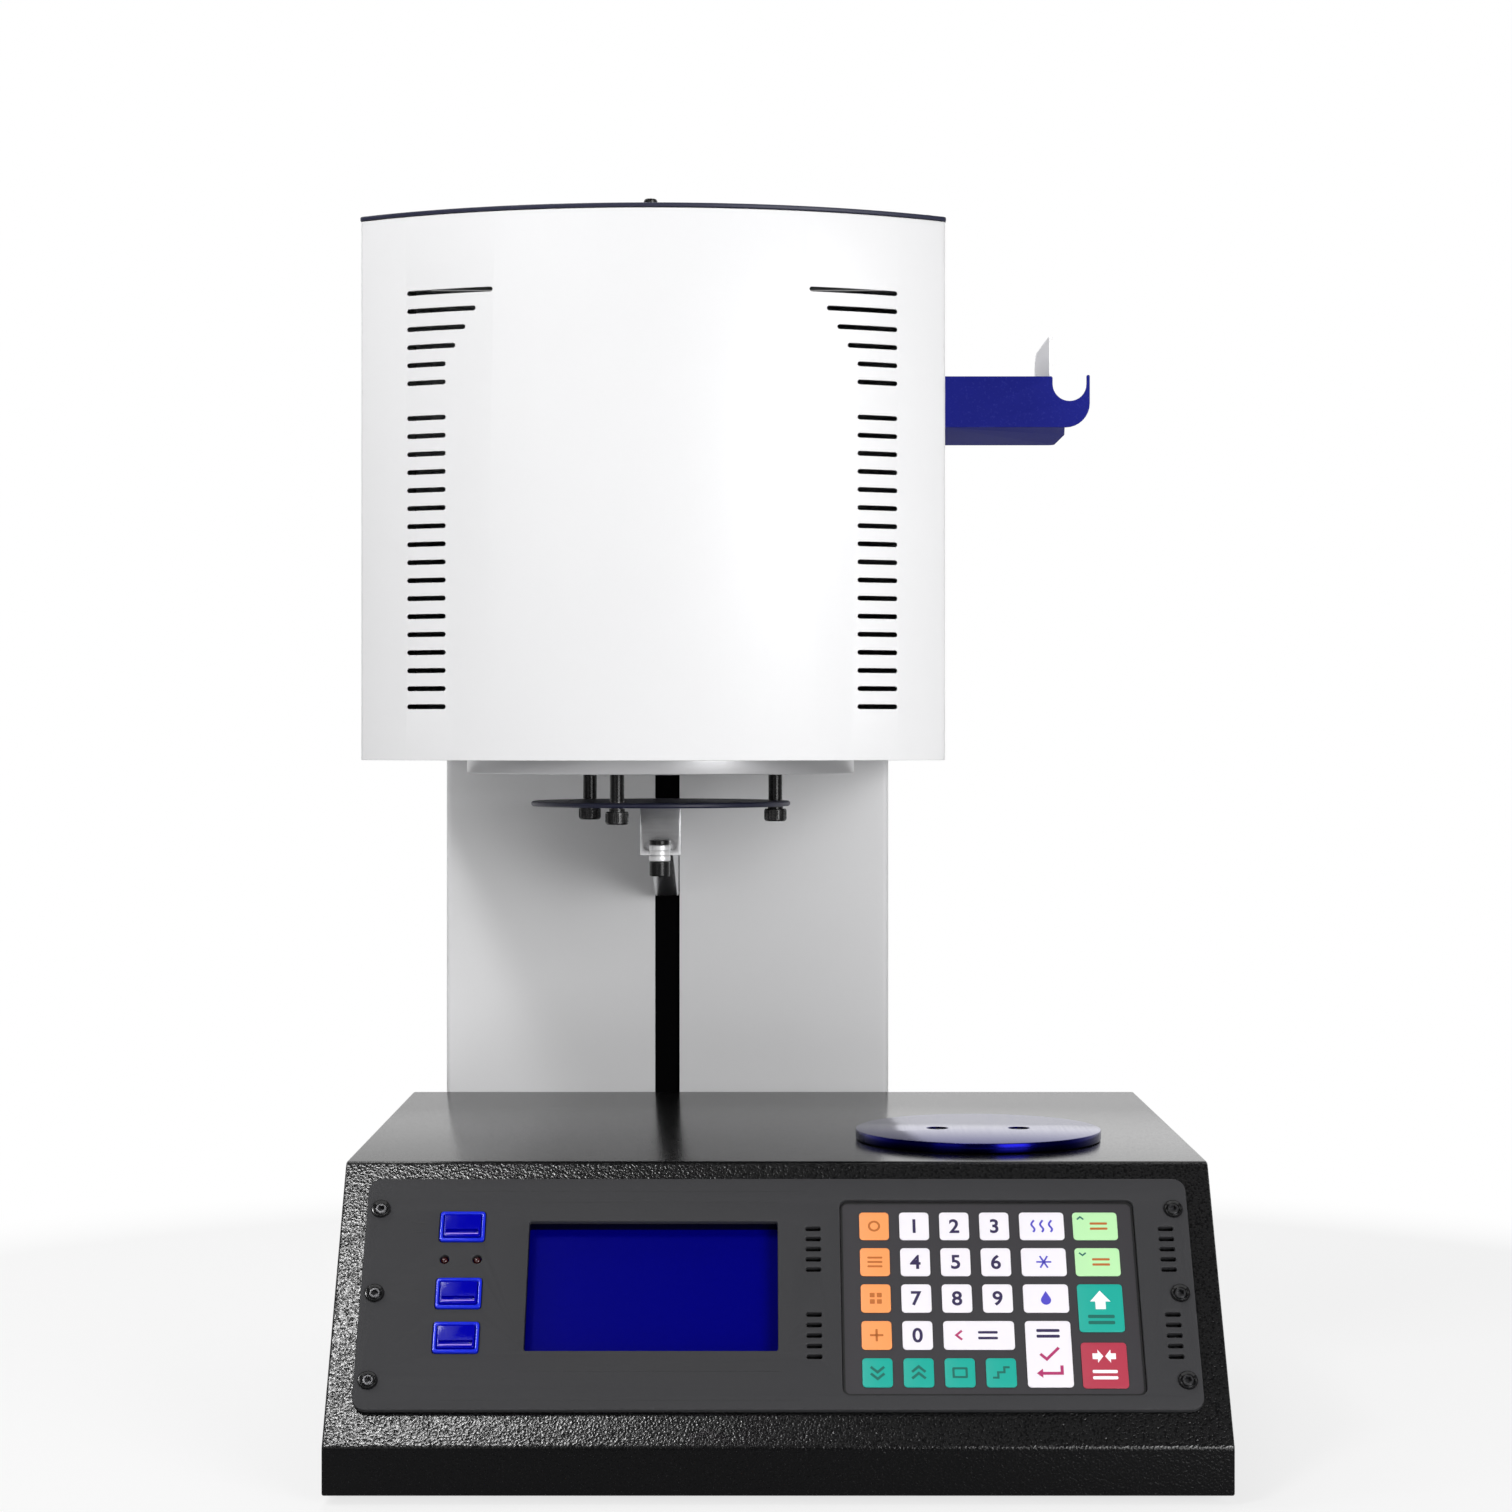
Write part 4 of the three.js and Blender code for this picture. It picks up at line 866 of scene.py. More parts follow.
class NodeTrees:
    """Geometry Nodes trees for what repeats: rows of slots, sets of fasteners and threads."""

    @staticmethod
    def _open(name: str, inputs: dict[str, object]) -> tuple[Graph, dict, dict]:
        """Opens a geometry tree that takes a material."""
        inputs = {"Geometry": None, **inputs, "Material": None}
        return open_group("GeometryNodeTree", name, inputs, "Geometry")

    @staticmethod
    def _close(graph: Graph, shape: Socket, given: dict, out: dict) -> Tree:
        """Ends a tree in Realize Instances and Set Material.

        Args:
            graph: the tree's nodes.
            shape: the geometry that it ends with.
            given: its inputs.
            out: its outputs.

        Returns:
            The tree.
        """
        real = graph.add("GeometryNodeRealizeInstances", {"Geometry": shape}).outputs[0]
        painted = graph.add("GeometryNodeSetMaterial", {"Geometry": real, "Material": given["Material"]})
        graph.link(painted.outputs[0], out["Geometry"])
        return graph.tree

    @classmethod
    @cache
    def fasteners(cls) -> Tree:
        """Puts a copy of one fastener on each point, turned as the point says."""
        graph, given, out = cls._open("fasteners", {"Fastener": None})
        source = graph.add("GeometryNodeObjectInfo", {"Object": given["Fastener"]}).outputs["Geometry"]
        turn = graph.add("GeometryNodeInputNamedAttribute", {"Name": "turn"}, data_type="FLOAT_VECTOR")
        copies = graph.add("GeometryNodeInstanceOnPoints", {
            "Points": given["Geometry"], "Instance": source, "Rotation": turn.outputs["Attribute"],
        })
        return cls._close(graph, copies.outputs[0], given, out)

    @classmethod
    @cache
    def slots(cls) -> Tree:
        """A row of round-ended slots, as solids to cut with, on each point of a line along Z."""
        inputs = {"Count": 5, "Pitch": 8.0, "Length": 18.0, "Height": 2.4, "Depth": 10.0}
        graph, given, out = cls._open("slot row", inputs)
        step = graph.add("ShaderNodeCombineXYZ", {"Z": given["Pitch"]}).outputs[0]
        line = graph.add("GeometryNodeMeshLine", {"Count": given["Count"], "Offset": step}).outputs[0]
        size = {"Width": given["Length"], "Height": given["Height"]}
        outline = graph.add("GeometryNodeCurvePrimitiveQuadrilateral", size).outputs[0]
        fillet = {"Curve": outline, "Count": 4, "Radius": graph.sum("MULTIPLY", given["Height"], 0.499)}
        ends = graph.add("GeometryNodeFilletCurve", fillet, mode="POLY").outputs[0]
        face = graph.add("GeometryNodeFillCurve", {"Curve": ends}, mode="NGONS").outputs[0]
        depth = {"Mesh": face, "Offset Scale": given["Depth"], "Individual": False}
        closed = graph.add("GeometryNodeJoinGeometry")
        graph.link(graph.add("GeometryNodeExtrudeMesh", depth).outputs[0], closed.inputs[0])
        graph.link(graph.add("GeometryNodeFlipFaces", {"Mesh": face}).outputs[0], closed.inputs[0])
        weld = {"Geometry": closed.outputs[0], "Distance": 1e-4}
        shut = graph.add("GeometryNodeMergeByDistance", weld).outputs[0]
        places = {"Points": line, "Instance": shut, "Rotation": (math.pi / 2, 0.0, 0.0)}
        copies = graph.add("GeometryNodeInstanceOnPoints", places)
        return cls._close(graph, copies.outputs[0], given, out)

    @classmethod
    @cache
    def helix(cls) -> Tree:
        """A round bar wound in a helix up the Z axis, for a thread's ridge."""
        inputs = {"Turns": 10.0, "Radius": 5.0, "Height": 50.0, "Bar radius": 0.5, "Resolution": 32}
        graph, given, out = cls._open("helix", inputs)
        spiral = graph.add("GeometryNodeCurveSpiral", {
            "Resolution": given["Resolution"], "Rotations": given["Turns"], "Start Radius": given["Radius"],
            "End Radius": given["Radius"], "Height": given["Height"],
        }).outputs[0]
        ring = {"Resolution": 6, "Radius": given["Bar radius"]}
        section = graph.add("GeometryNodeCurvePrimitiveCircle", ring).outputs[0]
        sweep = {"Curve": spiral, "Profile Curve": section, "Fill Caps": True}
        return cls._close(graph, graph.add("GeometryNodeCurveToMesh", sweep).outputs[0], given, out)

    @staticmethod
    def run(tree: Tree, mesh: Mesh, values: dict[str, object]) -> Mesh:
        """Runs a tree.

        Args:
            tree: the tree.
            mesh: what it works on.
            values: its named inputs.

        Returns:
            The plain result.
        """

        def prepare(holder: bpy.types.Object) -> None:
            """Adds the tree and sets its inputs by their identifiers."""
            modifier = holder.modifiers.new("nodes", "NODES")
            modifier.node_group = tree
            for item in tree.interface.items_tree:
                if item.in_out == "INPUT" and item.name in values:
                    modifier[item.identifier] = values[item.name]

        return evaluated(mesh, prepare)


def fastener_set(
    fastener: Mesh, places: Sequence[Vector], turns: Sequence[Sequence[float]], finish: Finish
) -> Mesh:
    """Copies of one fastener.

    Args:
        fastener: its mesh, standing on the origin along +Z.
        places: where each copy stands.
        turns: each copy's rotation as Euler angles.
        finish: the finish of them all.

    Returns:
        One mesh that holds every copy.
    """
    source = bpy.data.objects.new("fastener", fastener)
    bpy.context.scene.collection.objects.link(source)
    points = bpy.data.meshes.new("places")
    points.from_pydata([tuple(p) for p in places], [], [])
    attribute = points.attributes.new("turn", "FLOAT_VECTOR", "POINT")
    for item, turn in zip(attribute.data, turns):
        item.vector = turn
    mesh = NodeTrees.run(NodeTrees.fasteners(), points, {"Fastener": source, "Material": finish.build()})
    bpy.data.objects.remove(source)
    return mesh


def slot_row(count: int, pitch: float, length: float, height: float, depth: float) -> Mesh:
    """Round-ended slots in a row up Z, as cutters that run from the origin towards +Y and -Y.

    Args:
        count: how many slots there are.
        pitch: from one slot to the next.
        length: a slot's length, across.
        height: its height.
        depth: how far the cutters run.

    Returns:
        The cutters as one mesh.
    """
    values = {"Count": count, "Pitch": pitch, "Length": length, "Height": height, "Depth": depth}
    mesh = NodeTrees.run(NodeTrees.slots(), bpy.data.meshes.new("row"), values)
    return welded(moved(mesh, (0.0, depth / 2, 0.0)))


def helix(turns: float, radius: float, height: float, bar: float, steps: int) -> Mesh:
    """A helical bar up the Z axis."""
    values = {"Turns": turns, "Radius": radius, "Height": height, "Bar radius": bar, "Resolution": steps}
    return welded(NodeTrees.run(NodeTrees.helix(), bpy.data.meshes.new("helix"), values))


class Assembly:
    """A sub-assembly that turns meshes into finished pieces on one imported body."""

    body = "cabinet"
    place = Matrix.Identity(4)

    def piece(
        self, name: str, mesh: Mesh, finish: Finish, replaces: Sequence[str] = (),
        place: Matrix | None = None, smooth: float = 30.0, body: str | None = None,
    ) -> None:
        """Finishes a mesh as a piece of the furnace.

        Args:
            name: the piece's name.
            mesh: its mesh in millimetres.
            finish: its finish.
            replaces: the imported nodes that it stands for.
            place: where the mesh goes, in millimetres, if not to the sub-assembly's own place.
            smooth: edges sharper than this many degrees stay sharp.
            body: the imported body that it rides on, if not the sub-assembly's own.
        """
        mesh.transform(Matrix.Scale(MM, 4) @ (place or self.place))
        mesh.name = name
        mesh.materials.clear()
        mesh.materials.append(finish.build())
        for face in mesh.polygons:
            face.material_index = 0
        mesh.shade_smooth()
        mesh.set_sharp_from_angle(angle=math.radians(smooth))
        piece = bpy.data.objects.new(name, mesh)
        bpy.context.scene.collection.objects.link(piece)
        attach(piece, body or self.body)
        if replaces:
            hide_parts(*replaces)
        LOG.info("%s: %d faces on %s", name, len(mesh.polygons), body or self.body)

    @staticmethod
    def dress(finish: Finish, *nodes: str) -> None:
        """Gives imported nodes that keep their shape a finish.

        Args:
            finish: the finish.
            nodes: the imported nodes' names.
        """
        for node in nodes:
            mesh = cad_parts[node].data
            mesh.materials.clear()
            mesh.materials.append(finish.build())
            LOG.info("%s: dressed as %s", node, finish.name)


@dataclass(frozen=True)
class Panel:
    """The sloping panel's own frame: right, up the slope, and out."""

    lip_height: float = 21.0
    slope_depth: float = 85.0

    @property
    def length(self) -> float:
        """How long the slope is."""
        low, high = corners("base_shell")
        return math.hypot(high.z - low.z - self.lip_height, self.slope_depth)

    @property
    def place(self) -> Matrix:
        """Takes the panel's frame to its place on the console."""
        low = corners("base_shell")[0]
        shift = Matrix.Translation((0.0, low.y, low.z + self.lip_height))
        return shift @ Matrix.Rotation(SLOPE_ANGLE, 4, "X")

    def down(self, distance: float) -> float:
        """The place up the slope of something measured down from the top fold."""
        return self.length - distance

    def rect(
        self, left: float, top: float, width: float, height: float, radius: float, inset: float = 0.0
    ) -> Loop:
        """A rounded rectangle.

        Args:
            left: its left edge.
            top: its top edge, down from the top fold.
            width: its width.
            height: its height.
            radius: its corners' radius.
            inset: how far every edge moves inwards.

        Returns:
            The outline's points.
        """
        sides = left + inset, left + width - inset
        return rounded_rect(*sides, self.down(top + height - inset), self.down(top + inset), radius)


PANEL = Panel()


class PanelAssembly(Assembly):
    """A sub-assembly drawn in the sloping panel's frame."""

    @property
    def place(self) -> Matrix:
        """The panel's place."""
        return PANEL.place


@dataclass
class Console(Assembly):
    """The black cabinet with its sloping front, its floor plate and its feet."""

    sheet: float = 2.0
    fold_radius: float = 4.0
    edge: float = 1.0
    window: tuple[float, float, float, float] = (-166.0, 9.0, 21.0, 106.0)
    socket_margin: tuple[float, float] = (2.2, 3.7)
    hose_radius: float = 4.5

    def profile(self, inset: float) -> Loop:
        """The side outline, y and z, moved inwards by some amount."""
        low, high = corners("base_shell")
        drop = inset * (1 - math.cos(SLOPE_ANGLE)) / math.sin(SLOPE_ANGLE)
        reach = inset * math.tan(SLOPE_ANGLE / 2)
        radius = max(self.fold_radius - inset, 0.5)
        foot = low.z - (3.0 if inset else 0.0)
        return rounded([
            (low.y + inset, foot), (high.y - inset, foot), (high.y - inset, high.z - inset, radius),
            (low.y + PANEL.slope_depth + reach, high.z - inset, radius),
            (low.y + inset, low.z + PANEL.lip_height - drop, radius),
        ])

    def build(self) -> None:
        """Makes the shell, the floor plate and the feet."""
        low, high = corners("base_shell")
        sheet = self.sheet
        outer = moved(plate([self.profile(0.0)], low.x, high.x, self.edge, 3), ALONG_X)
        inner = moved(plate([self.profile(sheet)], low.x + sheet, high.x - sheet), ALONG_X)
        left, right, top, bottom = self.window
        window = block((left, PANEL.down(bottom), -8.0), (right, PANEL.down(top), 6.0))
        inlet_low, inlet_high = corners("mains_inlet")
        across, up = self.socket_margin
        socket = block(
            (inlet_low.x + across, high.y - 5.0, inlet_low.z + up),
            (inlet_high.x - across, high.y + 5.0, inlet_high.z - up),
        )
        outlet = centre("vacuum_outlet")
        radius = self.hose_radius
        hose_hole = moved(turned([(0, -6), (radius, -6), (radius, 6), (0, 6)], 24), FACING_BACK)
        moved(hose_hole, (outlet.x, high.y, outlet.z))
        shell = combined(outer, [inner, moved(window, PANEL.place), socket, hose_hole])
        self.piece("console_shell", shell, BLACK_COAT, ["base_shell"])
        self.dress(ZINC, "bottom_plate")
        for number in range(1, 5):
            self._foot(f"rubber_foot_{number}")

    def _foot(self, node: str) -> None:
        """Turns one rubber foot with a sunk middle."""
        low, high = corners(node)
        tall = high.z - low.z
        foot = turned([
            (0, 1.6), (2.6, 1.6), (3.2, 0), (8.6, 0), (9.6, 0.6), (10, 1.4), (10, tall), (0, tall),
        ], 40)
        self.piece(node + "_turned", standing(foot, node), RUBBER, [node])


@dataclass
class FasciaPlate(PanelAssembly):
    """The grey plate on the slope, with its windows, slots, printed lines and six screws."""

    half_width: float = 188.0
    top: float = 10.8
    height: float = 115.0
    foot: float = 0.3
    thickness: float = 3.0
    corner: float = 6.0
    display: tuple[float, float, float, float] = (-113.3, 32.8, 113.5, 64.6)
    keypad: tuple[float, float, float, float] = (28.6, 21.8, 134.7, 97.0)
    button_left: float = -153.95
    button_width: float = 20.5
    button_height: float = 15.0
    button_tops: tuple[float, ...] = (28.2, 61.8, 83.6)
    button_room: float = 0.25
    lamp_places: tuple[float, ...] = (-151.1, -136.3)
    lamp_down: float = 52.1
    lamp_hole: float = 2.2
    slot_width: float = 7.0
    slot_height: float = 2.2
    slot_pitch: float = 5.15
    slot_count: int = 5
    slot_lefts: tuple[float, ...] = (12.8, 173.8)
    slot_tops: tuple[float, ...] = (35.5, 78.5)
    screw_head: float = 2.6
    screw_in: float = 6.5
    screw_top: float = 26.6
    screw_pitch: float = 42.6
    print_height: float = 0.04

    @property
    def face(self) -> float:
        """How far out the plate's face lies."""
        return self.foot + self.thickness

    def button(self, top: float, radius: float, inset: float = 0.0) -> Loop:
        """A button's outline, moved inwards by some amount."""
        return PANEL.rect(self.button_left, top, self.button_width, self.button_height, radius, inset)

    def lamp_outlines(self) -> list[Loop]:
        """The indicator lamps' holes."""
        return [circle(across, PANEL.down(self.lamp_down), self.lamp_hole, 20) for across in self.lamp_places]

    def build(self) -> None:
        """Makes the plate, its printed lines and its screws."""
        loops = [
            PANEL.rect(-self.half_width, self.top, 2 * self.half_width, self.height, self.corner),
            PANEL.rect(*self.display, 1.2), PANEL.rect(*self.keypad, 3.5),
        ]
        loops += [self.button(top, 1.6, -self.button_room) for top in self.button_tops]
        loops += self.lamp_outlines()
        loops += [circle(x, y, self.screw_head + 0.1) for x, y in self._screw_places()]
        loops += [
            PANEL.rect(left, top + step * self.slot_pitch, self.slot_width, self.slot_height, 0.9)
            for left in self.slot_lefts for top in self.slot_tops for step in range(self.slot_count)
        ]
        self.piece("fascia_plate", plate(loops, self.foot, self.face, 0.45), FASCIA_COAT, ["control_fascia"])
        self._print()
        self._screws()

    def _print(self) -> None:
        """The fine dark lines above and below the display, and small marks by the buttons."""
        lines = [
            (-152.0, 17.2, 165.0), (-112.0, 22.8, 112.0), (-114.0, 107.0, 116.0), (-150.0, 121.0, 160.0),
        ]
        loops = [PANEL.rect(left, down, width, 0.5, 0.2) for left, down, width in lines]
        marks = [(0, 4.8), (0, 9.8), (1, 4.8), (2, 4.8)]
        left = self.button_left - 14.0
        loops += [PANEL.rect(left, self.button_tops[row] + down, 8.0, 0.8, 0.3) for row, down in marks]
        self.piece("fascia_print", plate(loops, self.face, self.face + self.print_height), INK_GREY)

    def _screw_places(self) -> list[Point]:
        """Where the six screws stand on the panel."""
        across = self.half_width - self.screw_in
        downs = [self.screw_top + row * self.screw_pitch for row in range(3)]
        return [(side * across, PANEL.down(down)) for side in (-1, 1) for down in downs]

    def _screws(self) -> None:
        """Six socket screws, each sunk in a black cup washer."""
        radius = self.screw_head
        cup = turned([
            (radius + 0.1, 0.0), (4.4, 0.0), (4.35, 0.7), (4.05, 1.25), (3.75, 1.3), (3.5, 1.05),
            (radius + 0.1, 0.25), (radius + 0.1, 0.0),
        ], 48)
        foot = -self.thickness
        head = [(0, foot), (radius, foot), (radius, 0.45), (radius - 0.35, 0.8), (0, 0.85)]
        screw = hex_screw(head, 36, 1.75, -1.6, 3.0)
        places = [Vector((*place, self.face)) for place in self._screw_places()]
        turns = [(0.0, 0.0, 0.4 * number) for number in range(len(places))]
        nodes = [f"fascia_screw_{number}" for number in range(1, 7)]
        cups = fastener_set(cup, places, turns, CUP_BLACK)
        self.piece("fascia_cup_washers", cups, CUP_BLACK, nodes)
        screws = fastener_set(screw, places, turns, SCREW_STEEL)
        self.piece("fascia_socket_screws", screws, SCREW_STEEL)


@dataclass
class DisplayUnit(PanelAssembly):
    """The graphic display, sunk behind its window in a black frame."""

    margin: float = 3.5
    glass: float = 1.0
    sink: float = 5.0
    overlap: float = 0.4

    def build(self, fascia: FasciaPlate) -> None:
        """Makes the glass and the frame that stands round it."""
        rim = PANEL.rect(*fascia.display, 0.5, -self.margin)
        hole = PANEL.rect(*fascia.display, 1.0)
        view = PANEL.rect(*fascia.display, 1.0, -self.overlap)
        low, face = -self.sink - self.glass, -self.sink
        self.piece("display_glass", plate([view], low, face), DISPLAY, ["lcd_glass"])
        rest = plate([rim, view], low, face)
        self.piece("display_rim", merged([rest, plate([rim, hole], face, 0.0)]), DISPLAY_EDGE)


class KeyInk(Enum):
    """The colours of the keys."""

    WHITE = KEY_WHITE
    ORANGE = KEY_ORANGE
    TEAL = KEY_TEAL
    GREEN = KEY_GREEN
    RED = KEY_RED


class Mark(Enum):
    """What is printed on a key: a digit or a plain symbol."""

    DIGIT = auto()
    HEAT = auto()
    COLD = auto()
    DROP = auto()
    BACK = auto()
    RETURN = auto()
    UP = auto()
    DOWN = auto()
    START = auto()
    STOP = auto()
    DOUBLE_DOWN = auto()
    DOUBLE_UP = auto()
    RING = auto()
    SQUARE = auto()
    LIST = auto()
    GRID = auto()
    PLUS = auto()
    STEPS = auto()


def shifted(points: Iterable[Point], dx: float, dy: float, scale: float = 1.0) -> Loop:
    """Points scaled and moved."""
    return [(x * scale + dx, y * scale + dy) for x, y in points]


def bars(scale: float, ups: Sequence[float], across: float = 0.0) -> list[Loop]:
    """Short bars one above another, as stand-ins for words."""
    return [shifted(rounded_rect(-4.0, 4.0, -0.55, 0.55, 0.4), across, up, scale) for up in ups]


UPWARDS = [(-3.0, -1.2), (0.0, 1.4), (3.0, -1.2)]
DOWNWARDS = [(x, -y) for x, y in UPWARDS]
WAVE = [(0.7 * math.sin(step * 0.9), -3.0 + step * 0.75) for step in range(9)]
ARMS = [
    [tuple(Matrix.Rotation(math.radians(60 * turn), 2) @ Vector((x, 0.0))) for x in (-3.4, 3.4)]
    for turn in range(3)
]
BEAD = [
    (2.3 * math.cos(a), -0.9 + 2.3 * math.sin(a)) for a in (math.radians(150 + 20 * n) for n in range(13))
]
ENTER = [
    (-6.0, -9.4), (-3.2, -7.2), (-3.2, -8.7), (4.6, -8.7), (4.6, -5.6), (6.0, -5.6), (6.0, -10.1),
    (-3.2, -10.1), (-3.2, -11.6),
]
RAISED = [(-4.6, 3.2), (0.0, 8.6), (4.6, 3.2), (2.3, 3.2), (2.3, -0.6), (-2.3, -0.6), (-2.3, 3.2)]
INWARDS = [(-5.2, 3.0), (-2.9, 3.0), (-2.9, 1.2), (-0.4, 4.4), (-2.9, 7.6), (-2.9, 5.8), (-5.2, 5.8)]
STAIRS = [(-3.8, -2.4), (-1.4, -2.4), (-1.4, 0.2), (1.4, 0.2), (1.4, 2.6), (3.8, 2.6)]
SYMBOLS: dict[Mark, list[tuple[Finish, list[Loop]]]] = {
    Mark.HEAT: [(INK_BLUE, [stroke(shifted(WAVE, dx, 0.0), 0.9) for dx in (-4.0, 0.0, 4.0)])],
    Mark.COLD: [(INK_BLUE, [stroke(arm, 0.8)]) for arm in ARMS],
    Mark.DROP: [(INK_BLUE, [[(0.0, 3.6), *BEAD]])],
    Mark.BACK: [
        (INK_CRIMSON, [stroke([(-7.6, 2.2), (-10.2, 0.0), (-7.6, -2.2)], 1.0)]),
        (INK_NAVY, bars(1.1, (-1.4, 1.4), 4.0)),
    ],
    Mark.RETURN: [
        (INK_CRIMSON, [ENTER]), (INK_CRIMSON, [stroke([(-4.0, 0.0), (-1.2, -2.6), (4.4, 3.0)], 1.3)]),
        (INK_NAVY, bars(1.3, (8.6, 11.4))),
    ],
    Mark.UP: [
        (INK_PINE, [stroke(shifted(UPWARDS, -6.6, 4.0, 0.5), 0.7)]), (INK_RUST, bars(1.0, (-1.3, 1.3), 1.6)),
    ],
    Mark.DOWN: [
        (INK_PINE, [stroke(shifted(DOWNWARDS, -6.6, 4.0, 0.5), 0.7)]),
        (INK_RUST, bars(1.0, (-1.3, 1.3), 1.6)),
    ],
    Mark.START: [(INK_WHITE, [RAISED]), (INK_PINE, bars(1.5, (-7.2, -4.2)))],
    Mark.STOP: [
        (INK_WHITE, [INWARDS, [(-x, y) for x, y in INWARDS][::-1]]), (INK_WHITE, bars(1.4, (-6.0, -3.0))),
    ],
    Mark.DOUBLE_UP: [(INK_PINE, [stroke(shifted(UPWARDS, 0.0, dy), 1.2) for dy in (-1.6, 1.6)])],
    Mark.DOUBLE_DOWN: [(INK_PINE, [stroke(shifted(DOWNWARDS, 0.0, dy), 1.2) for dy in (-1.6, 1.6)])],
    Mark.RING: [(INK_RUST, [circle(0.0, 0.0, 2.8, 24), circle(0.0, 0.0, 1.8, 24)])],
    Mark.SQUARE: [
        (INK_PINE, [rounded_rect(-3.4, 3.4, -2.6, 2.6, 0.6), rounded_rect(-2.4, 2.4, -1.6, 1.6, 0.3)]),
    ],
    Mark.STEPS: [(INK_PINE, [stroke(STAIRS, 1.0)])],
    Mark.GRID: [
        (INK_RUST, [rounded_rect(x, x + 2.2, y, y + 2.2, 0.3) for x in (-2.7, 0.5) for y in (-2.7, 0.5)]),
    ],
    Mark.PLUS: [
        (INK_RUST, [rounded_rect(-x, x, -y, y, 0.3)]) for x, y in ((3.0, 0.5), (0.5, 3.0))
    ],
    Mark.LIST: [(INK_RUST, bars(0.85, (-2.2, 0.0, 2.2)))],
}
"""Each plain symbol's outlines round its key's middle, by ink; what overlaps is apart."""


@dataclass(frozen=True)
class Key:
    """One key: its left and top edges on the panel, its size, colour and mark."""

    left: float
    top: float
    width: float
    height: float
    ink: KeyInk
    mark: Mark
    digit: str = ""


@dataclass
class Keypad(PanelAssembly):
    """The membrane keypad: a dark sheet with raised coloured keys and printed marks."""

    foot: float = 0.3
    thickness: float = 1.2
    rise: float = 0.5
    room: float = 0.3
    first_left: float = 37.5
    first_top: float = 27.6
    pitch_x: float = 18.3
    pitch_y: float = 18.2
    width: float = 13.5
    height: float = 14.1
    wide: float = 20.4
    last_left: float = 135.1
    start_height: float = 23.7
    stop_top: float = 92.8
    stop_height: float = 22.2
    corner: float = 1.7
    digit_height: float = 7.0
    print_height: float = 0.06
    border_in: float = 0.15
    painted_shade_ring_width: float = 0.9

    def keys(self) -> list[Key]:
        """Every key of the pad."""
        w, h, wide, last = self.width, self.height, self.wide, self.last_left

        def at(column: int, row: int) -> Point:
            """A key's left and top edges."""
            return self.first_left + column * self.pitch_x, self.first_top + row * self.pitch_y

        orange = enumerate((Mark.RING, Mark.LIST, Mark.GRID, Mark.PLUS))
        white = enumerate((Mark.HEAT, Mark.COLD, Mark.DROP))
        teal = enumerate((Mark.DOUBLE_DOWN, Mark.DOUBLE_UP, Mark.SQUARE, Mark.STEPS))
        digits = [(str(n + 1), 1 + n % 3, n // 3) for n in range(9)] + [("0", 1, 3)]
        return [
            *(Key(*at(0, row), w, h, KeyInk.ORANGE, mark) for row, mark in orange),
            *(Key(*at(column, row), w, h, KeyInk.WHITE, Mark.DIGIT, n) for n, column, row in digits),
            Key(*at(2, 3), w + self.pitch_x, h, KeyInk.WHITE, Mark.BACK),
            *(Key(*at(4, row), wide, h, KeyInk.WHITE, mark) for row, mark in white),
            Key(*at(4, 3), wide, h + self.pitch_y, KeyInk.WHITE, Mark.RETURN),
            *(Key(*at(column, 4), w, h, KeyInk.TEAL, mark) for column, mark in teal),
            Key(last, at(0, 0)[1], wide, h, KeyInk.GREEN, Mark.UP),
            Key(last, at(0, 1)[1], wide, h, KeyInk.GREEN, Mark.DOWN),
            Key(last, at(0, 2)[1], wide, self.start_height, KeyInk.TEAL, Mark.START),
            Key(last, self.stop_top, wide, self.stop_height, KeyInk.RED, Mark.STOP),
        ]

    def build(self, fascia: FasciaPlate) -> None:
        """Makes the sheet, its ring of painted shade, the keys by colour and the print by ink."""
        sheet_top = self.foot + self.thickness
        sheet = plate([PANEL.rect(*fascia.keypad, 3.2, self.room)], self.foot, sheet_top)
        self.piece("keypad_sheet", sheet, FILM, ["keypad_overlay"])
        # A black ring round the sheet is painted shade, standing for the shadow of the recess's walls.
        edge = self.room + self.border_in
        painted_shade_ring = [
            PANEL.rect(*fascia.keypad, 3.0, edge), PANEL.rect(*fascia.keypad, 2.2, edge + self.painted_shade_ring_width),
        ]
        self.piece("keypad_border", self._printed(painted_shade_ring, sheet_top), SHADE_BLACK)
        keys = self.keys()
        key_top = sheet_top + self.rise
        for ink in KeyInk:
            loops = [PANEL.rect(k.left, k.top, k.width, k.height, self.corner) for k in keys if k.ink is ink]
            self.piece(ink.name.lower() + "_keys", plate(loops, sheet_top, key_top, 0.22), ink.value)
        prints: dict[Finish, list[Mesh]] = {}
        for key in keys:
            middle = (key.left + key.width / 2, PANEL.down(key.top + key.height / 2), 0.0)
            for finish, mesh in self._mark(key, key_top):
                prints.setdefault(finish, []).append(moved(mesh, middle))
        for finish, meshes in prints.items():
            self.piece(finish.name.replace(" ", "_"), merged(meshes), finish)

    def _printed(self, loops: Sequence[Loop], low: float) -> Mesh:
        """Flat shapes as a thin solid: print on a key, and the painted shade round the sheet."""
        return plate(loops, low, low + self.print_height)

    def _mark(self, key: Key, low: float) -> list[tuple[Finish, Mesh]]:
        """What is printed on a key, round its middle, each with its ink.

        Args:
            key: the key.
            low: how far out the print starts.

        Returns:
            The inks and what is printed in each.
        """
        if key.mark is Mark.DIGIT:
            return [(INK_NAVY, lettering(key.digit, self.digit_height, low, low + self.print_height))]
        return [(ink, self._printed(loops, low)) for ink, loops in SYMBOLS[key.mark]]


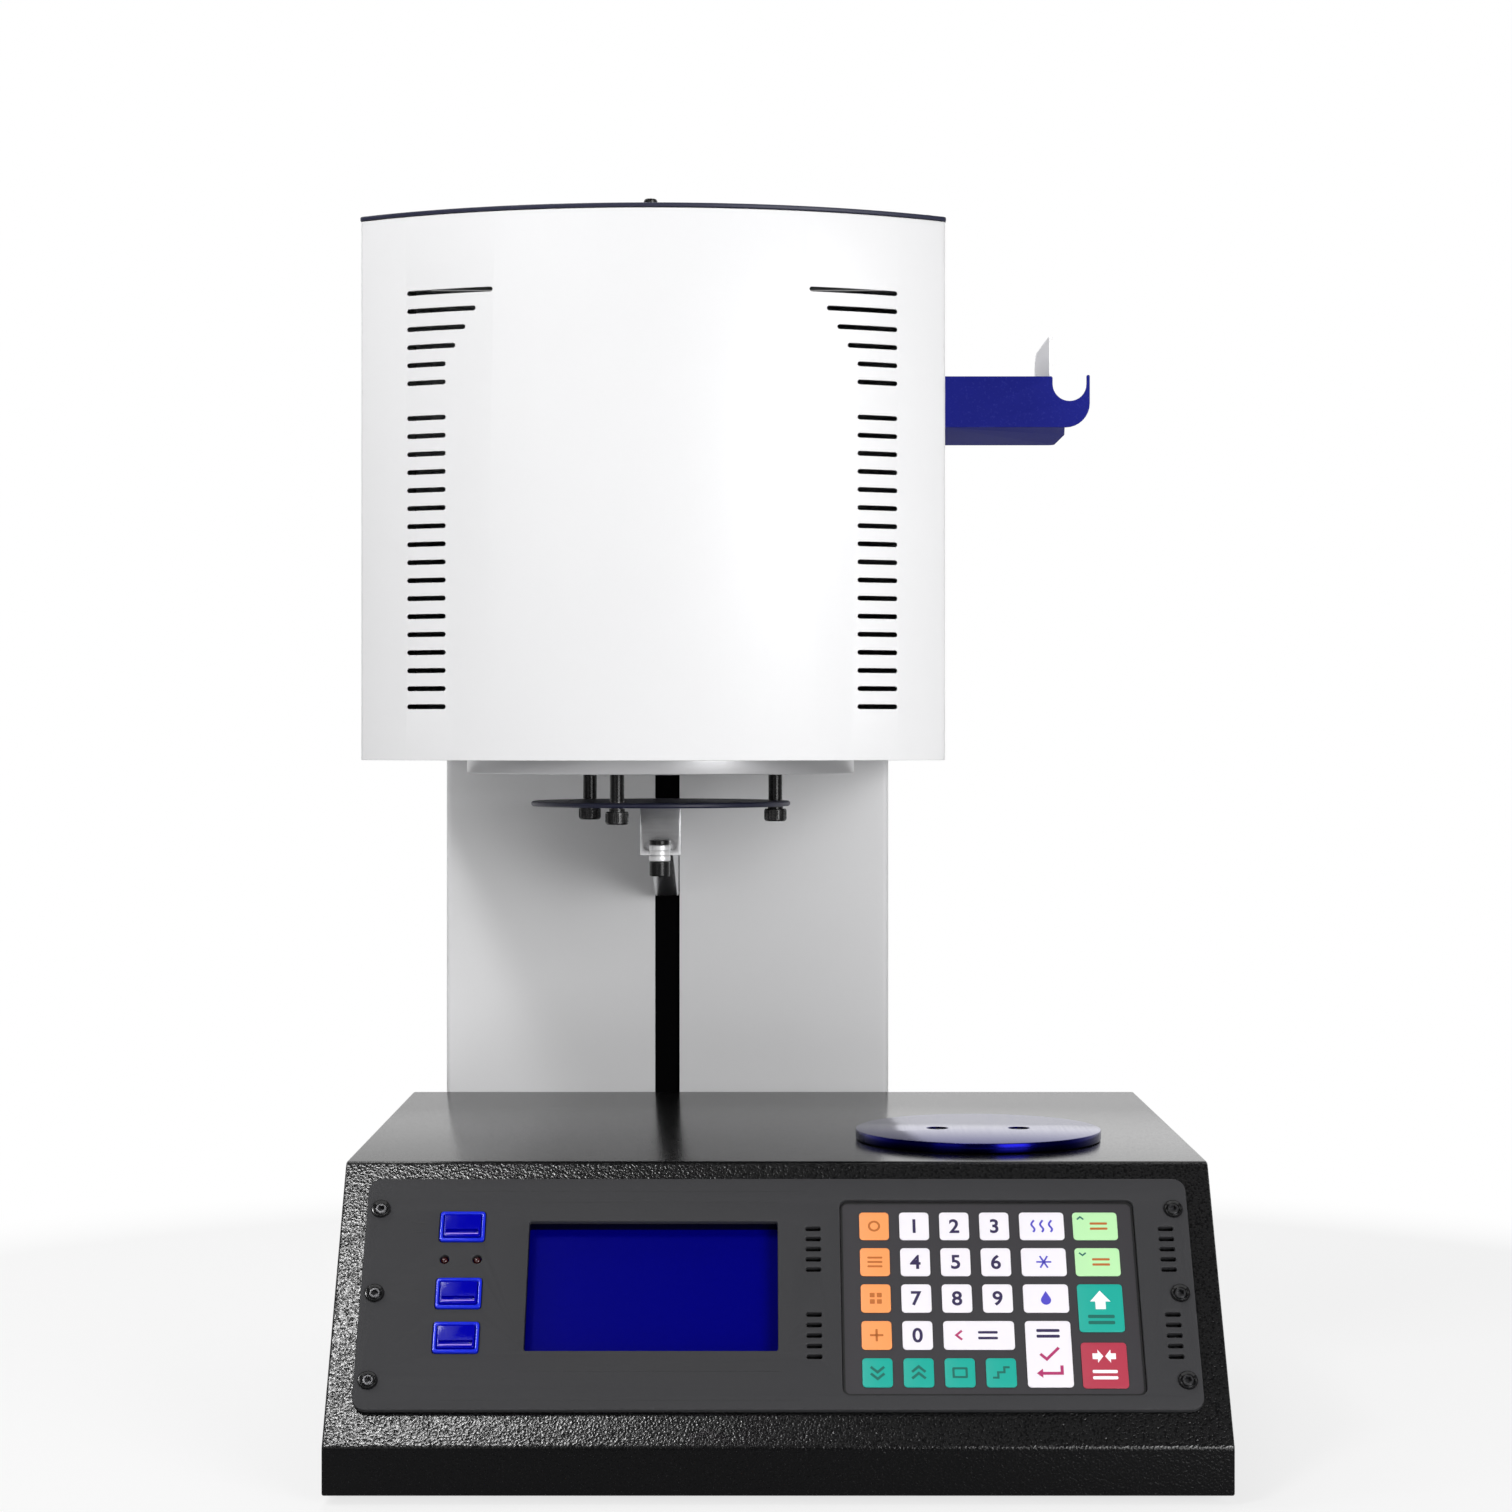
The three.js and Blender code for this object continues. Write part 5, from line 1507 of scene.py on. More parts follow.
@dataclass
class PushButtons(PanelAssembly):
    """Three glossy push buttons in their frames, and the two indicator lamps between them."""

    frame: float = 1.6
    slide: float = 0.25
    bezel_depth: float = 2.0
    bezel_margin: float = 3.0
    frame_rise: float = 1.0
    cap_rise: float = 1.6
    cap_depth: float = 6.0
    groove_up: float = 1.9
    groove_height: float = 1.8
    groove_depth: float = 1.3
    groove_in: float = 1.0
    line_height: float = 0.55
    line_gap: float = 0.15
    lens_sink: float = 0.35
    lens_foot: float = -12.0
    names: tuple[str, ...] = ("upper", "middle", "lower")

    def build(self, fascia: FasciaPlate) -> None:
        """Makes the moulding with its frames, the three caps and the lamps."""
        tops = fascia.button_tops
        holes = [fascia.button(top, 0.8, self.frame) for top in tops]
        crown = fascia.face + self.frame_rise
        frames = [
            plate([fascia.button(top, 1.5), hole], -0.05, crown, 0.5, 3) for top, hole in zip(tops, holes)
        ]
        tall = tops[-1] + fascia.button_height - tops[0]
        strip = PANEL.rect(fascia.button_left, tops[0], fascia.button_width, tall, 1.4, -self.bezel_margin)
        frames.append(plate([strip, *holes, *fascia.lamp_outlines()], -self.bezel_depth, 0.0))
        self.piece("button_frames", merged(frames), BEZEL_BLUE, ["button_bezel"])
        for name, top in zip(self.names, tops):
            self._cap(name, fascia, top)
        self._lamps(fascia)

    def _cap(self, name: str, fascia: FasciaPlate, top: float) -> None:
        """One key cap, with a groove across its lower part and a pale painted highlight below it.

        Args:
            name: which button it is.
            fascia: the plate that it stands in.
            top: its frame's top edge, down from the top fold.
        """
        inset = self.frame + self.slide
        crown = fascia.face + self.cap_rise
        body = plate([fascia.button(top, 0.8, inset)], fascia.face - self.cap_depth, crown, 0.45, 3)
        low = PANEL.down(top + fascia.button_height - inset) + self.groove_up
        margin = inset + self.groove_in
        ends = fascia.button_left + margin, fascia.button_left + fascia.button_width - margin
        groove = block(
            (ends[0], low, crown - self.groove_depth), (ends[1], low + self.groove_height, crown + 1.0), 0.2
        )
        rider = name + "_button"
        cap = combined(body, [groove])
        self.piece(rider + "_cap", cap, CAP_BLUE, [name + "_push_button"], body=rider)
        # The pale violet strip under the groove is a painted highlight of the ledge's lit edge.
        highlight_top = low - self.line_gap
        outline = rounded_rect(*ends, highlight_top - self.line_height, highlight_top, 0.2)
        line = plate([outline], crown - 0.3, crown + 0.04)
        self.piece(rider + "_line", line, HIGHLIGHT_VIOLET, body=rider)

    def _lamps(self, fascia: FasciaPlate) -> None:
        """The two small domed lamps."""
        low, top = self.lens_foot, fascia.face - self.lens_sink
        lens = [
            (0, low), (1.7, low), (1.7, top - 1.5), (1.6, top - 0.95), (1.3, top - 0.45), (0.85, top - 0.13),
            (0, top),
        ]
        down = PANEL.down(fascia.lamp_down)
        lamps = [moved(turned(lens, 24), (across, down, 0.0)) for across in fascia.lamp_places]
        self.piece("indicator_lamps", merged(lamps), LED_RED, ["indicator_leds"])


@dataclass
class CoolingPlate(Assembly):
    """The blue disc on the console, with its two sunk screws."""

    edge: float = 0.7
    hole_spacing: float = 40.0
    hole_radius: float = 5.0

    def build(self) -> None:
        """Turns the disc and drills it."""
        low, high = corners("cooling_plate")
        radius = (high.x - low.x) / 2
        tall = high.z - low.z
        edge, slant = self.edge, self.edge * 0.3
        disc = turned([
            (0, 0), (radius - edge, 0), (radius - slant, slant), (radius, edge), (radius, tall - edge),
            (radius - slant, tall - slant), (radius - edge, tall), (0, tall),
        ], 128)
        hole = self.hole_radius
        bore = [(0, -1), (hole, -1), (hole, tall - 0.5), (hole + 0.9, tall + 0.4), (0, tall + 0.4)]
        acrosses = (-self.hole_spacing / 2, self.hole_spacing / 2)
        holes = [moved(turned(bore, 32), (across, 0, 0)) for across in acrosses]
        self.piece(
            "cooling_disc", standing(combined(disc, holes), "cooling_plate"), BLUE_ANODISED, ["cooling_plate"]
        )
        head = hex_screw([(0, 0), (4.6, 0), (4.6, 3.4), (3.8, 4.2), (0, 4.2)], 32, 2.2, 2.2, 6.0)
        middle = centre("cooling_plate")
        places = [Vector((middle.x + across, middle.y, low.z)) for across in acrosses]
        screws = fastener_set(head, places, [(0, 0, 0.3), (0, 0, 0.8)], BLACK_STEEL)
        nodes = ["cooling_plate_screw_1", "cooling_plate_screw_2"]
        self.piece("cooling_disc_screws", screws, BLACK_STEEL, nodes)


@dataclass
class RearFittings(Assembly):
    """The mains inlet with its rocker and the vacuum outlet, on the console's rear wall."""

    pin_pitch: float = 7.0
    pin_up: float = 14.0
    screw_in: float = 2.6
    rocker_tilt: float = 8.0

    def build(self) -> None:
        """Dresses the fittings and adds what is fixed to them."""
        low, high = corners("mains_inlet")
        middle = centre("mains_inlet")
        self.dress(BLACK_PLASTIC, "mains_inlet")
        up = middle.z + self.pin_up
        pins = [
            block((across - 0.9, high.y - 17.0, up - 1.9), (across + 0.9, high.y - 7.2, up + 1.9), 0.3)
            for across in (middle.x - self.pin_pitch, middle.x, middle.x + self.pin_pitch)
        ]
        screw = cross_screw([(0, 0), (2.8, 0), (2.8, 0.6), (2.0, 1.3), (0, 1.6)], 24, 0.3, 0.8)
        places = [Vector((middle.x, high.y, up)) for up in (low.z + self.screw_in, high.z - self.screw_in)]
        screws = fastener_set(screw, places, [(-math.pi / 2, 0, 0)] * 2, BRIGHT_STEEL)
        self.piece("inlet_contacts", merged([*pins, screws]), BRIGHT_STEEL)
        self._rocker()
        self.dress(ALUMINIUM, "vacuum_outlet")

    def _rocker(self) -> None:
        """Marks the two ends of the switch with a line and a ring."""
        self.dress(BLACK_PLASTIC, "mains_rocker")
        line = plate([rounded_rect(-0.35, 0.35, 3.2, 6.2, 0.3)], 3.0, 3.06)
        ring = plate([circle(0.0, -4.8, 1.7, 24), circle(0.0, -4.8, 1.1, 24)], 3.0, 3.06)
        tilt = Matrix.Rotation(-math.radians(self.rocker_tilt), 4, "X")
        place = Matrix.Translation(centre("mains_rocker")) @ tilt @ FACING_BACK
        self.piece("rocker_marks", merged([line, ring]), INK_WHITE, (), place, body="rocker")


@dataclass
class Column(Assembly):
    """The white rear column with its lift slot, its rear cover and the cover's screws."""

    sheet: float = 2.0
    fold_radius: float = 3.0
    slot_width: float = 13.6
    slot_height: float = 191.0
    vent_count: int = 9
    vent_pitch: float = 14.0
    vent_width: float = 90.0
    vent_height: float = 4.0
    vent_low: float = 182.0
    screw_edge: float = 9.0
    screw_rows: int = 4
    filter_margin: float = 8.0
    filter_depth: float = 6.0
    filter_gap: float = 0.2
    notch_width: float = 32.0
    notch_depth: float = 3.2
    screw_hole: float = 6.0
    rod_hole: float = 6.15

    def build(self) -> None:
        """Makes the shell, the cover and the bearing plates."""
        low, high = corners("column_shell")
        middle = (low.x + high.x) / 2
        fold, sheet, half = self.fold_radius, self.sheet, self.slot_width / 2
        outline = [(low.x, low.y, fold), (high.x, low.y, fold), (high.x, high.y, 0.5), (low.x, high.y, 0.5)]
        outer = plate([rounded(outline, 6)], low.z, high.z, 0.6)
        inner = block((low.x + sheet, low.y + sheet, low.z - 5), (high.x - sheet, high.y + 5, high.z - sheet))
        top = corners("base_shell")[1].z
        slot = block((middle - half, low.y - 5, top - 4), (middle + half, low.y + 5, top + self.slot_height))
        relief = block((low.x + sheet, low.y - 5, low.z - 5), (high.x - sheet, low.y + 5, low.z + 2.5))
        self.piece("column_wrap", combined(outer, [inner, slot, relief]), WHITE_COAT, ["column_shell"])
        self._cover()
        for node in ("lower_bearing_plate", "upper_bearing_plate"):
            self._bearing_plate(node)

    def _cover(self) -> None:
        """The rear cover with its vents and countersunk screws."""
        low, high = corners("column_back_cover")
        middle = (low.x + high.x) / 2
        sheet = plate([rounded_rect(low.x, high.x, low.z, high.z, 1.0)], -high.y, -low.y, 0.3, 1)
        slots = slot_row(self.vent_count, self.vent_pitch, self.vent_width, self.vent_height, 12.0)
        moved(slots, (middle, low.y, self.vent_low + self.vent_height))
        half = (high.x - low.x) / 2 - self.screw_edge
        pitch = (high.z - low.z - 2 * self.screw_edge) / (self.screw_rows - 1)
        ups = [low.z + self.screw_edge + row * pitch for row in range(self.screw_rows)]
        places = [Vector((middle + side * half, high.y, up)) for side in (-1, 1) for up in ups]
        sink = [(0, -1.4), (2.3, -1.4), (3.4, -0.4), (3.4, 1.0), (0, 1.0)]
        sinks = [moved(turned(sink, 28), Matrix.Translation(place) @ FACING_BACK) for place in places]
        cover = combined(moved(sheet, ALONG_Y), [slots, *sinks])
        self.piece("rear_cover", cover, WHITE_COAT, ["column_back_cover"])
        self._filter(middle, low.y)
        head = [(0, -1.3), (2.2, -1.3), (3.2, -0.4), (3.2, -0.1), (0, -0.1)]
        turns = [(-math.pi / 2, 0.2 * number, 0.0) for number in range(len(places))]
        screws = fastener_set(cross_screw(head, 28, 0.4, -0.9), places, turns, BLACK_STEEL)
        self.piece("rear_cover_screws", screws, BLACK_STEEL)

    def _bearing_plate(self, node: str) -> None:
        """A plate that holds the rods and the screw, with a notch where the slot's band passes."""
        low, high = corners(node)
        screw = centre("lead_screw")
        left, right = screw.x - self.notch_width / 2, screw.x + self.notch_width / 2
        floor = low.y + self.notch_depth
        outline = [
            (low.x, low.y), (low.x, high.y), (high.x, high.y), (high.x, low.y), (right, low.y),
            (right, floor), (left, floor), (left, low.y),
        ]
        holes = [circle(screw.x, screw.y, self.screw_hole)]
        for rod in (centre("guide_rod_1"), centre("guide_rod_2")):
            holes.append(circle(rod.x, rod.y, self.rod_hole))
        self.piece(node + "_notched", plate([outline, *holes], low.z, high.z, 0.4, 1), ALUMINIUM, [node])

    def _filter(self, middle: float, face: float) -> None:
        """The foam dust filter behind the vents.

        Args:
            middle: the column's middle.
            face: the cover's inner face.
        """
        margin = self.filter_margin
        half = self.vent_width / 2 + margin
        low = self.vent_low - margin
        high = low + (self.vent_count - 1) * self.vent_pitch + 2 * self.vent_height + 2 * margin
        front = face - self.filter_gap
        foam = block((middle - half, front - self.filter_depth, low), (middle + half, front, high), 0.8)
        self.piece("vent_filter", foam, BLACK_FOAM)


@dataclass
class Housing(Assembly):
    """The white bow-fronted housing with its vent slots, cover and floor."""

    bow: float = 42.0
    bow_steps: int = 56
    sheet: float = 1.5
    corner: float = 3.0
    vent_height: float = 2.4
    vent_outer: float = 116.4
    vent_inner: float = 97.2
    vent_depth: float = 90.0
    low_count: int = 17
    low_start: float = 24.2
    pitch: float = 8.55
    group_gap: float = 16.6
    inner_ends: tuple[float, ...] = (97.2, 97.2, 92.5, 87.6, 82.6, 74.4)
    overhang: float = 0.5
    lip: float = 9.0
    gap: float = 0.3

    def outline(self, inset: float, back: float) -> Loop:
        """The plan outline moved inwards, with its rear edge at some y.

        Args:
            inset: how far it is moved inwards.
            back: where its rear edge lies.

        Returns:
            The outline's points.
        """
        low, high = corners("housing_wrap")
        middle = (low.x + high.x) / 2
        half = (high.x - low.x) / 2
        radius = (half**2 + self.bow**2) / (2 * self.bow)
        hub = low.y + radius
        half -= inset
        radius -= inset
        reach = math.asin(half / radius)
        angles = [-reach + 2 * reach * step / self.bow_steps for step in range(self.bow_steps + 1)]
        front = [(middle + radius * math.sin(a), hub - radius * math.cos(a)) for a in angles]
        corner = max(self.corner - inset, 0.5)
        return rounded([
            (middle - half, back), (*front[0], corner), *front[2:-2], (*front[-1], corner),
            (middle + half, back),
        ])

    def build(self) -> None:
        """Makes the wrap, the cover and its screw, and dresses the rest."""
        low, high = corners("housing_wrap")
        outer = plate([self.outline(0.0, high.y)], low.z, high.z, 0.4)
        inner = plate([self.outline(self.sheet, high.y + 5)], low.z - 5, high.z + 5)
        wrap = combined(combined(outer, [inner]), self._vents())
        back = corners("housing_back")[0].y - self.gap
        lips = [
            block((side, back - self.sheet, low.z), (side + self.lip, back, high.z))
            for side in (low.x + self.sheet / 2, high.x - self.sheet / 2 - self.lip)
        ]
        wrap = combined(wrap, lips, "UNION")
        self.piece("housing_shell", wrap, WHITE_COAT, ["housing_wrap"], smooth=25.0)
        self.dress(WHITE_COAT, "housing_back")
        self.dress(ZINC, "housing_floor")
        self._cover()

    def _vents(self) -> list[Mesh]:
        """The cutters of the vent slots: a tall even group on each side, and single ones above."""
        low = corners("housing_wrap")[0]
        middle = centre("housing_wrap")
        start = low.z + self.low_start
        first = start + (self.low_count - 1) * self.pitch + self.group_gap
        rows = [(self.vent_inner, start, self.low_count)]
        rows += [(end, first + number * self.pitch, 1) for number, end in enumerate(self.inner_ends)]
        cutters = []
        for side in (-1, 1):
            for end, up, count in rows:
                row = slot_row(count, self.pitch, self.vent_outer - end, self.vent_height, self.vent_depth)
                across = middle.x + side * (self.vent_outer + end) / 2
                cutters.append(moved(row, (across, low.y + 20, up + self.vent_height / 2)))
        return cutters

    def _cover(self) -> None:
        """The dark top cover and its screws."""
        low, high = corners("top_cover")
        wrap_low, wrap_high = corners("housing_wrap")
        cover = plate([self.outline(-self.overhang, wrap_high.y + self.overhang)], low.z, high.z, 0.5, 3)
        self.piece("top_plate", cover, NAVY_COAT, ["top_cover"])
        head = hex_screw([(0, 0), (3.2, 0), (3.2, 1.2), (2.7, 2.0), (1.6, 2.4), (0, 2.4)], 32, 1.5, 1.2, 4.0)
        seat = corners("top_cover_screw")[0].z
        front = centre("top_cover_screw")
        side = (wrap_high.x - wrap_low.x) / 2 - 8.0
        ahead = wrap_low.y + self.bow + 12.0
        plan = [
            (front.x, front.y), (front.x, wrap_high.y - 8.0), (front.x - side, ahead), (front.x + side, ahead)
        ]
        places = [Vector((*place, seat)) for place in plan]
        screws = fastener_set(head, places, [(0, 0, 0.3 * n) for n in range(len(places))], BLACK_STEEL)
        self.piece("top_plate_screws", screws, BLACK_STEEL, ["top_cover_screw"])


@dataclass
class Chamber(Assembly):
    """The firing chamber: flange, can, insulation, muffle and thermocouple."""

    edge: float = 0.8
    bore: float = 70.3

    def build(self) -> None:
        """Turns the flange and dresses the rest."""
        low, high = corners("chamber_flange")
        outer = (high.x - low.x) / 2
        tall = high.z - low.z
        inner, edge, slant = self.bore, self.edge, self.edge * 0.3
        ring = turned([
            (inner, 0), (outer - edge, 0), (outer - slant, slant), (outer, edge), (outer, tall),
            (inner, tall), (inner, 0),
        ], 128)
        self.piece("flange_ring", standing(ring, "chamber_flange"), FLANGE_METAL, ["chamber_flange"])
        self.dress(ZINC, "chamber_can")
        self.dress(FIBRE, "chamber_insulation")
        self.dress(QUARTZ, "heating_muffle")
        self.dress(CERAMIC, "thermocouple")


@dataclass
class LiftDrive(Assembly):
    """Motor, guide rods and threaded lead screw in the column, and the console's transformer and board."""

    core: float = 4.1
    thread_pitch: float = 8.0
    thread_starts: int = 2
    thread_bar: float = 0.55
    thread_in: float = 8.0

    def build(self) -> None:
        """Threads the screw and dresses the rest."""
        low, high = corners("lead_screw")
        tall = high.z - low.z
        core, bevel = self.core, self.core - 0.6
        shaft = turned([(0, 0), (bevel, 0), (core, 0.6), (core, tall - 0.6), (bevel, tall), (0, tall)], 32)
        length = tall - 2 * self.thread_in
        turns = length / self.thread_pitch * self.thread_starts
        ridge = moved(helix(turns, core + 0.2, length, self.thread_bar, 24), (0, 0, self.thread_in))
        threaded = standing(merged([shaft, ridge]), "lead_screw")
        self.piece("threaded_screw", threaded, BRIGHT_STEEL, ["lead_screw"], body="screw")
        self.dress(BRIGHT_STEEL, "guide_rod_1", "guide_rod_2")
        self.dress(BLACK_STEEL, "lift_motor")
        self.dress(COPPER, "power_transformer")
        self.dress(BOARD_GREEN, "control_board")


@dataclass
class LiftTable(Assembly):
    """What travels with the lift: carriage, arm, platform, bolts, seal, plug and tray."""

    body = "lift"
    web_width: float = 12.6
    head_width: float = 21.0
    head_height: float = 25.0
    head_depth: float = 24.0
    gusset_start: float = 10.0
    edge: float = 0.6
    coupling_radius: float = 5.25
    neck_radius: float = 4.0
    coupling_foot: float = 1.6
    ring_foot: float = 9.3
    ring_head: float = 17.6
    column_sheet: float = 2.0
    band_gap: float = 0.6
    band_width: float = 26.0
    band_length: float = 298.0
    band_thickness: float = 0.8
    rib_count: int = 18
    rib_reach: float = 5.55

    def build(self) -> None:
        """Makes the visible pieces and dresses the rest."""
        self._arm()
        self._band()
        self._platform()
        self._fitting()
        self.dress(ALUMINIUM, "lift_carriage", "carrier_plate")
        self.dress(SEAL, "chamber_seal")
        self.dress(FIBRE, "insulating_plug")
        self.dress(CERAMIC, "firing_tray")

    def _band(self) -> None:
        """The black band behind the lift slot, which the arm passes through."""
        low, high = corners("lift_arm")
        middle = (low.x + high.x) / 2
        face = corners("column_shell")[0].y + self.column_sheet + self.band_gap
        room = self.web_width / 2 + 0.4
        half = self.band_width / 2
        top = corners("base_shell")[1].z
        window = rounded_rect(middle - room, middle + room, low.z - 0.4, high.z + 0.4, 0.5, 2)
        outline = rounded_rect(middle - half, middle + half, top - 8.0, top + self.band_length, 1.0, 2)
        band = moved(plate([outline, window], -self.band_thickness, 0.0), ALONG_Y)
        self.piece("slot_band", moved(band, (0.0, face, 0.0)), BLACK_FELT)

    def _arm(self) -> None:
        """The cantilever arm: a block at the table's axis and a tapering web."""
        low, high = corners("lift_arm")
        middle = (low.x + high.x) / 2
        column = corners("column_shell")[0].y
        rear = low.y + self.head_depth
        foot = high.z - self.head_height
        web = rounded([
            (high.y, low.z), (high.y, high.z), (rear - 3, high.z), (rear - 3, foot),
            (column - self.gusset_start, low.z, 12.0),
        ], 6)
        half, wide = self.web_width / 2, self.head_width / 2
        arm = moved(plate([web], middle - half, middle + half, self.edge), ALONG_X)
        head = block((middle - wide, low.y, foot), (middle + wide, rear, high.z), 0.8)
        bores = [
            moved(
                turned([(0, -1), (2.6, -1), (2.6, 4), (0, 4)], 20),
                Matrix.Translation((middle + across, low.y, foot + 5.0)) @ FACING_BACK,
            )
            for across in (-6.0, 6.0)
        ]
        arm = combined(combined(arm, [head], "UNION"), bores)
        self.piece("cantilever_arm", arm, ALUMINIUM, ["lift_arm"])

    def _platform(self) -> None:
        """The thin round plate and its three knurled bolts."""
        low, high = corners("platform_plate")
        middle = centre("platform_plate")
        radius, bevel = (high.x - low.x) / 2, (high.x - low.x) / 2 - 0.7
        tall = high.z - low.z
        disc = turned([(0, 0), (bevel, 0), (radius, 0.7), (radius, tall - 0.7), (bevel, tall), (0, tall)], 96)
        bolts = [f"platform_bolt_{number}" for number in range(1, 4)]
        holes = []
        for bolt in bolts:
            place = centre(bolt) - middle
            hole = turned([(0, -1), (3.3, -1), (3.3, tall + 1), (0, tall + 1)], 24)
            holes.append(moved(hole, (place.x, place.y, 0)))
        disc = standing(combined(disc, holes), "platform_plate")
        self.piece("platform_disc", disc, NAVY_COAT, ["platform_plate"])
        for bolt in bolts:
            self._bolt(bolt, low.z, high.z)

    def _bolt(self, node: str, plate_low: float, plate_high: float) -> None:
        """A cap screw with a washer, a shank through the plate and a spacer above it.

        Args:
            node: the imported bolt.
            plate_low: the height of the plate's underside.
            plate_high: the height of its top.
        """
        low, high = corners(node)
        washer, spacer, top = plate_low - 0.3 - low.z, plate_high + 0.3 - low.z, high.z - low.z
        bolt = turned([
            (0, 1.8), (2.6, 1.8), (2.6, 0.2), (3.0, 0), (5.0, 0), (5.7, 0.7), (5.7, 6.0), (5.3, 6.5),
            (4.0, 6.5), (4.0, washer), (3.0, washer), (3.0, spacer), (3.6, spacer), (3.6, top), (0, top),
        ], 36)
        ribs = [
            block((x - 0.3, y - 0.3, 1.2), (x + 0.3, y + 0.3, 5.6))
            for x, y in circle(0.0, 0.0, self.rib_reach, self.rib_count)
        ]
        self.piece(node + "_cap_screw", standing(merged([bolt, *ribs]), node), BLACK_STEEL, [node])

    def _fitting(self) -> None:
        """The hose fitting on the arm's front end and its bright rings."""
        low, high = corners("hose_fitting")
        middle = centre("fitting_ring")
        neck, body, tall = self.neck_radius, self.coupling_radius, high.z - low.z
        foot, head, start = self.ring_foot, self.ring_head, self.coupling_foot
        lower = turned([
            (0, start), (body - 0.5, start), (body, start + 0.5), (body, foot - 0.6),
            (body - 0.4, foot - 0.2), (neck, foot - 0.2), (neck, head + 0.2),
            (body - 0.3, head + 0.2), (body, head + 0.5),
            (body, tall - 0.3), (body - 0.3, tall), (0, tall),
        ], 44)
        moved(lower, (middle.x, middle.y, low.z))
        stub = block((middle.x - 1.8, middle.y + 4, high.z - 3.7), (middle.x + 1.8, high.y, high.z), 0.3)
        self.piece("hose_coupling", merged([lower, stub]), BLACK_STEEL, ["hose_fitting"])
        half = (foot + head) / 2
        ring = turned([
            (neck + 0.2, foot), (5.1, foot), (5.45, foot + 0.35), (5.5, foot + 1.2), (5.45, half - 1.5),
            (5.05, half - 1.0), (5.05, half + 1.0), (5.45, half + 1.5), (5.5, head - 1.2),
            (5.45, head - 0.35), (5.1, head), (neck + 0.2, head), (neck + 0.2, foot),
        ], 48)
        self.piece("coupling_ring", moved(ring, (middle.x, middle.y, low.z)), SATIN_RING, ["fitting_ring"])


@dataclass
class ToolHolder(Assembly):
    """The blue bracket on the housing's side, with its steel end plate."""

    sheet: float = 2.0
    edge: float = 0.35
    web_height: float = 25.5
    web_length: float = 76.0
    prong_width: float = 1.6
    notch_radius: float = 8.5
    notch_depth: float = 13.0
    heel_radius: float = 12.0
    shelf_length: float = 63.4
    shelf_flare: float = 4.0
    shelf_bend: float = 43.0
    shelf_radii: tuple[float, float] = (30.0, 4.0)
    screw_in: float = 22.0
    screw_pitch: float = 56.0

    def build(self) -> None:
        """Makes the bracket and the end plate."""
        low, high = corners("tool_holder")
        tall, deep = high.z - low.z, high.y - low.y
        sheet, radius, height = self.sheet, self.notch_radius, self.web_height
        prong = self.web_length - self.prong_width
        hub = tall - self.notch_depth + radius
        angles = [-math.pi * step / 16 for step in range(17)]
        arc = [(prong - radius + radius * math.cos(a), hub + radius * math.sin(a)) for a in angles]
        web = rounded([
            (0, 0), (self.web_length, 0, self.heel_radius), (self.web_length, tall, 0.7), (prong, tall, 0.7),
            *arc, (prong - 2 * radius, height, 1.0), (0, height),
        ], 8)
        front = moved(plate([web], -sheet, 0.0, self.edge), ALONG_Y)
        end = self.shelf_length + self.shelf_flare
        bend, heel = self.shelf_radii
        outline = rounded([
            (0, 0), (self.shelf_length, 0), (end, self.shelf_bend, bend), (end, deep, heel), (0, deep),
        ], 8)
        shelf = plate([outline], 0.0, sheet, self.edge)
        ear = block((0, 0, 0), (sheet, deep, height), self.edge)
        bracket = combined(combined(front, [shelf], "UNION"), [ear], "UNION")
        self.piece("tool_bracket", moved(bracket, low), BLUE_COAT, ["tool_holder"])
        self.dress(PALE_STEEL, "holder_end_plate")
        head = hex_screw([(0, 0), (4.0, 0), (4.0, 0.9), (3.0, 1.8), (0, 2.1)], 32, 1.6, 0.9, 4.0)
        places = [
            low + Vector((sheet, self.screw_in + step * self.screw_pitch, height / 2)) for step in range(2)
        ]
        screws = fastener_set(head, places, [(0.0, math.pi / 2, 0.0)] * 2, BLACK_STEEL)
        self.piece("bracket_screws", screws, BLACK_STEEL)


@dataclass(frozen=True)
class Lamp:
    """A square soft lamp: its place and its side in millimetres, and its power in watts."""

    name: str
    place: tuple[float, float, float]
    size: float
    watts: float


LAMPS = (
    Lamp("left lamp", (-900.0, -1700.0, 650.0), 900.0, 2.5),
    Lamp("right lamp", (1000.0, -1700.0, 600.0), 900.0, 23.0),
    Lamp("upper lamp", (-700.0, -934.0, 1517.0), 300.0, 8.5),
    Lamp("middle lamp", (-400.0, -1100.0, 1600.0), 300.0, 1.0),
    Lamp("side lamp", (-1000.0, 0.0, 1200.0), 300.0, 3.0),
    Lamp("rear lamp", (500.0, 1900.0, 900.0), 1200.0, 2.5),
    Lamp("high rear lamp", (-300.0, 1500.0, 2200.0), 900.0, 20.0),
)


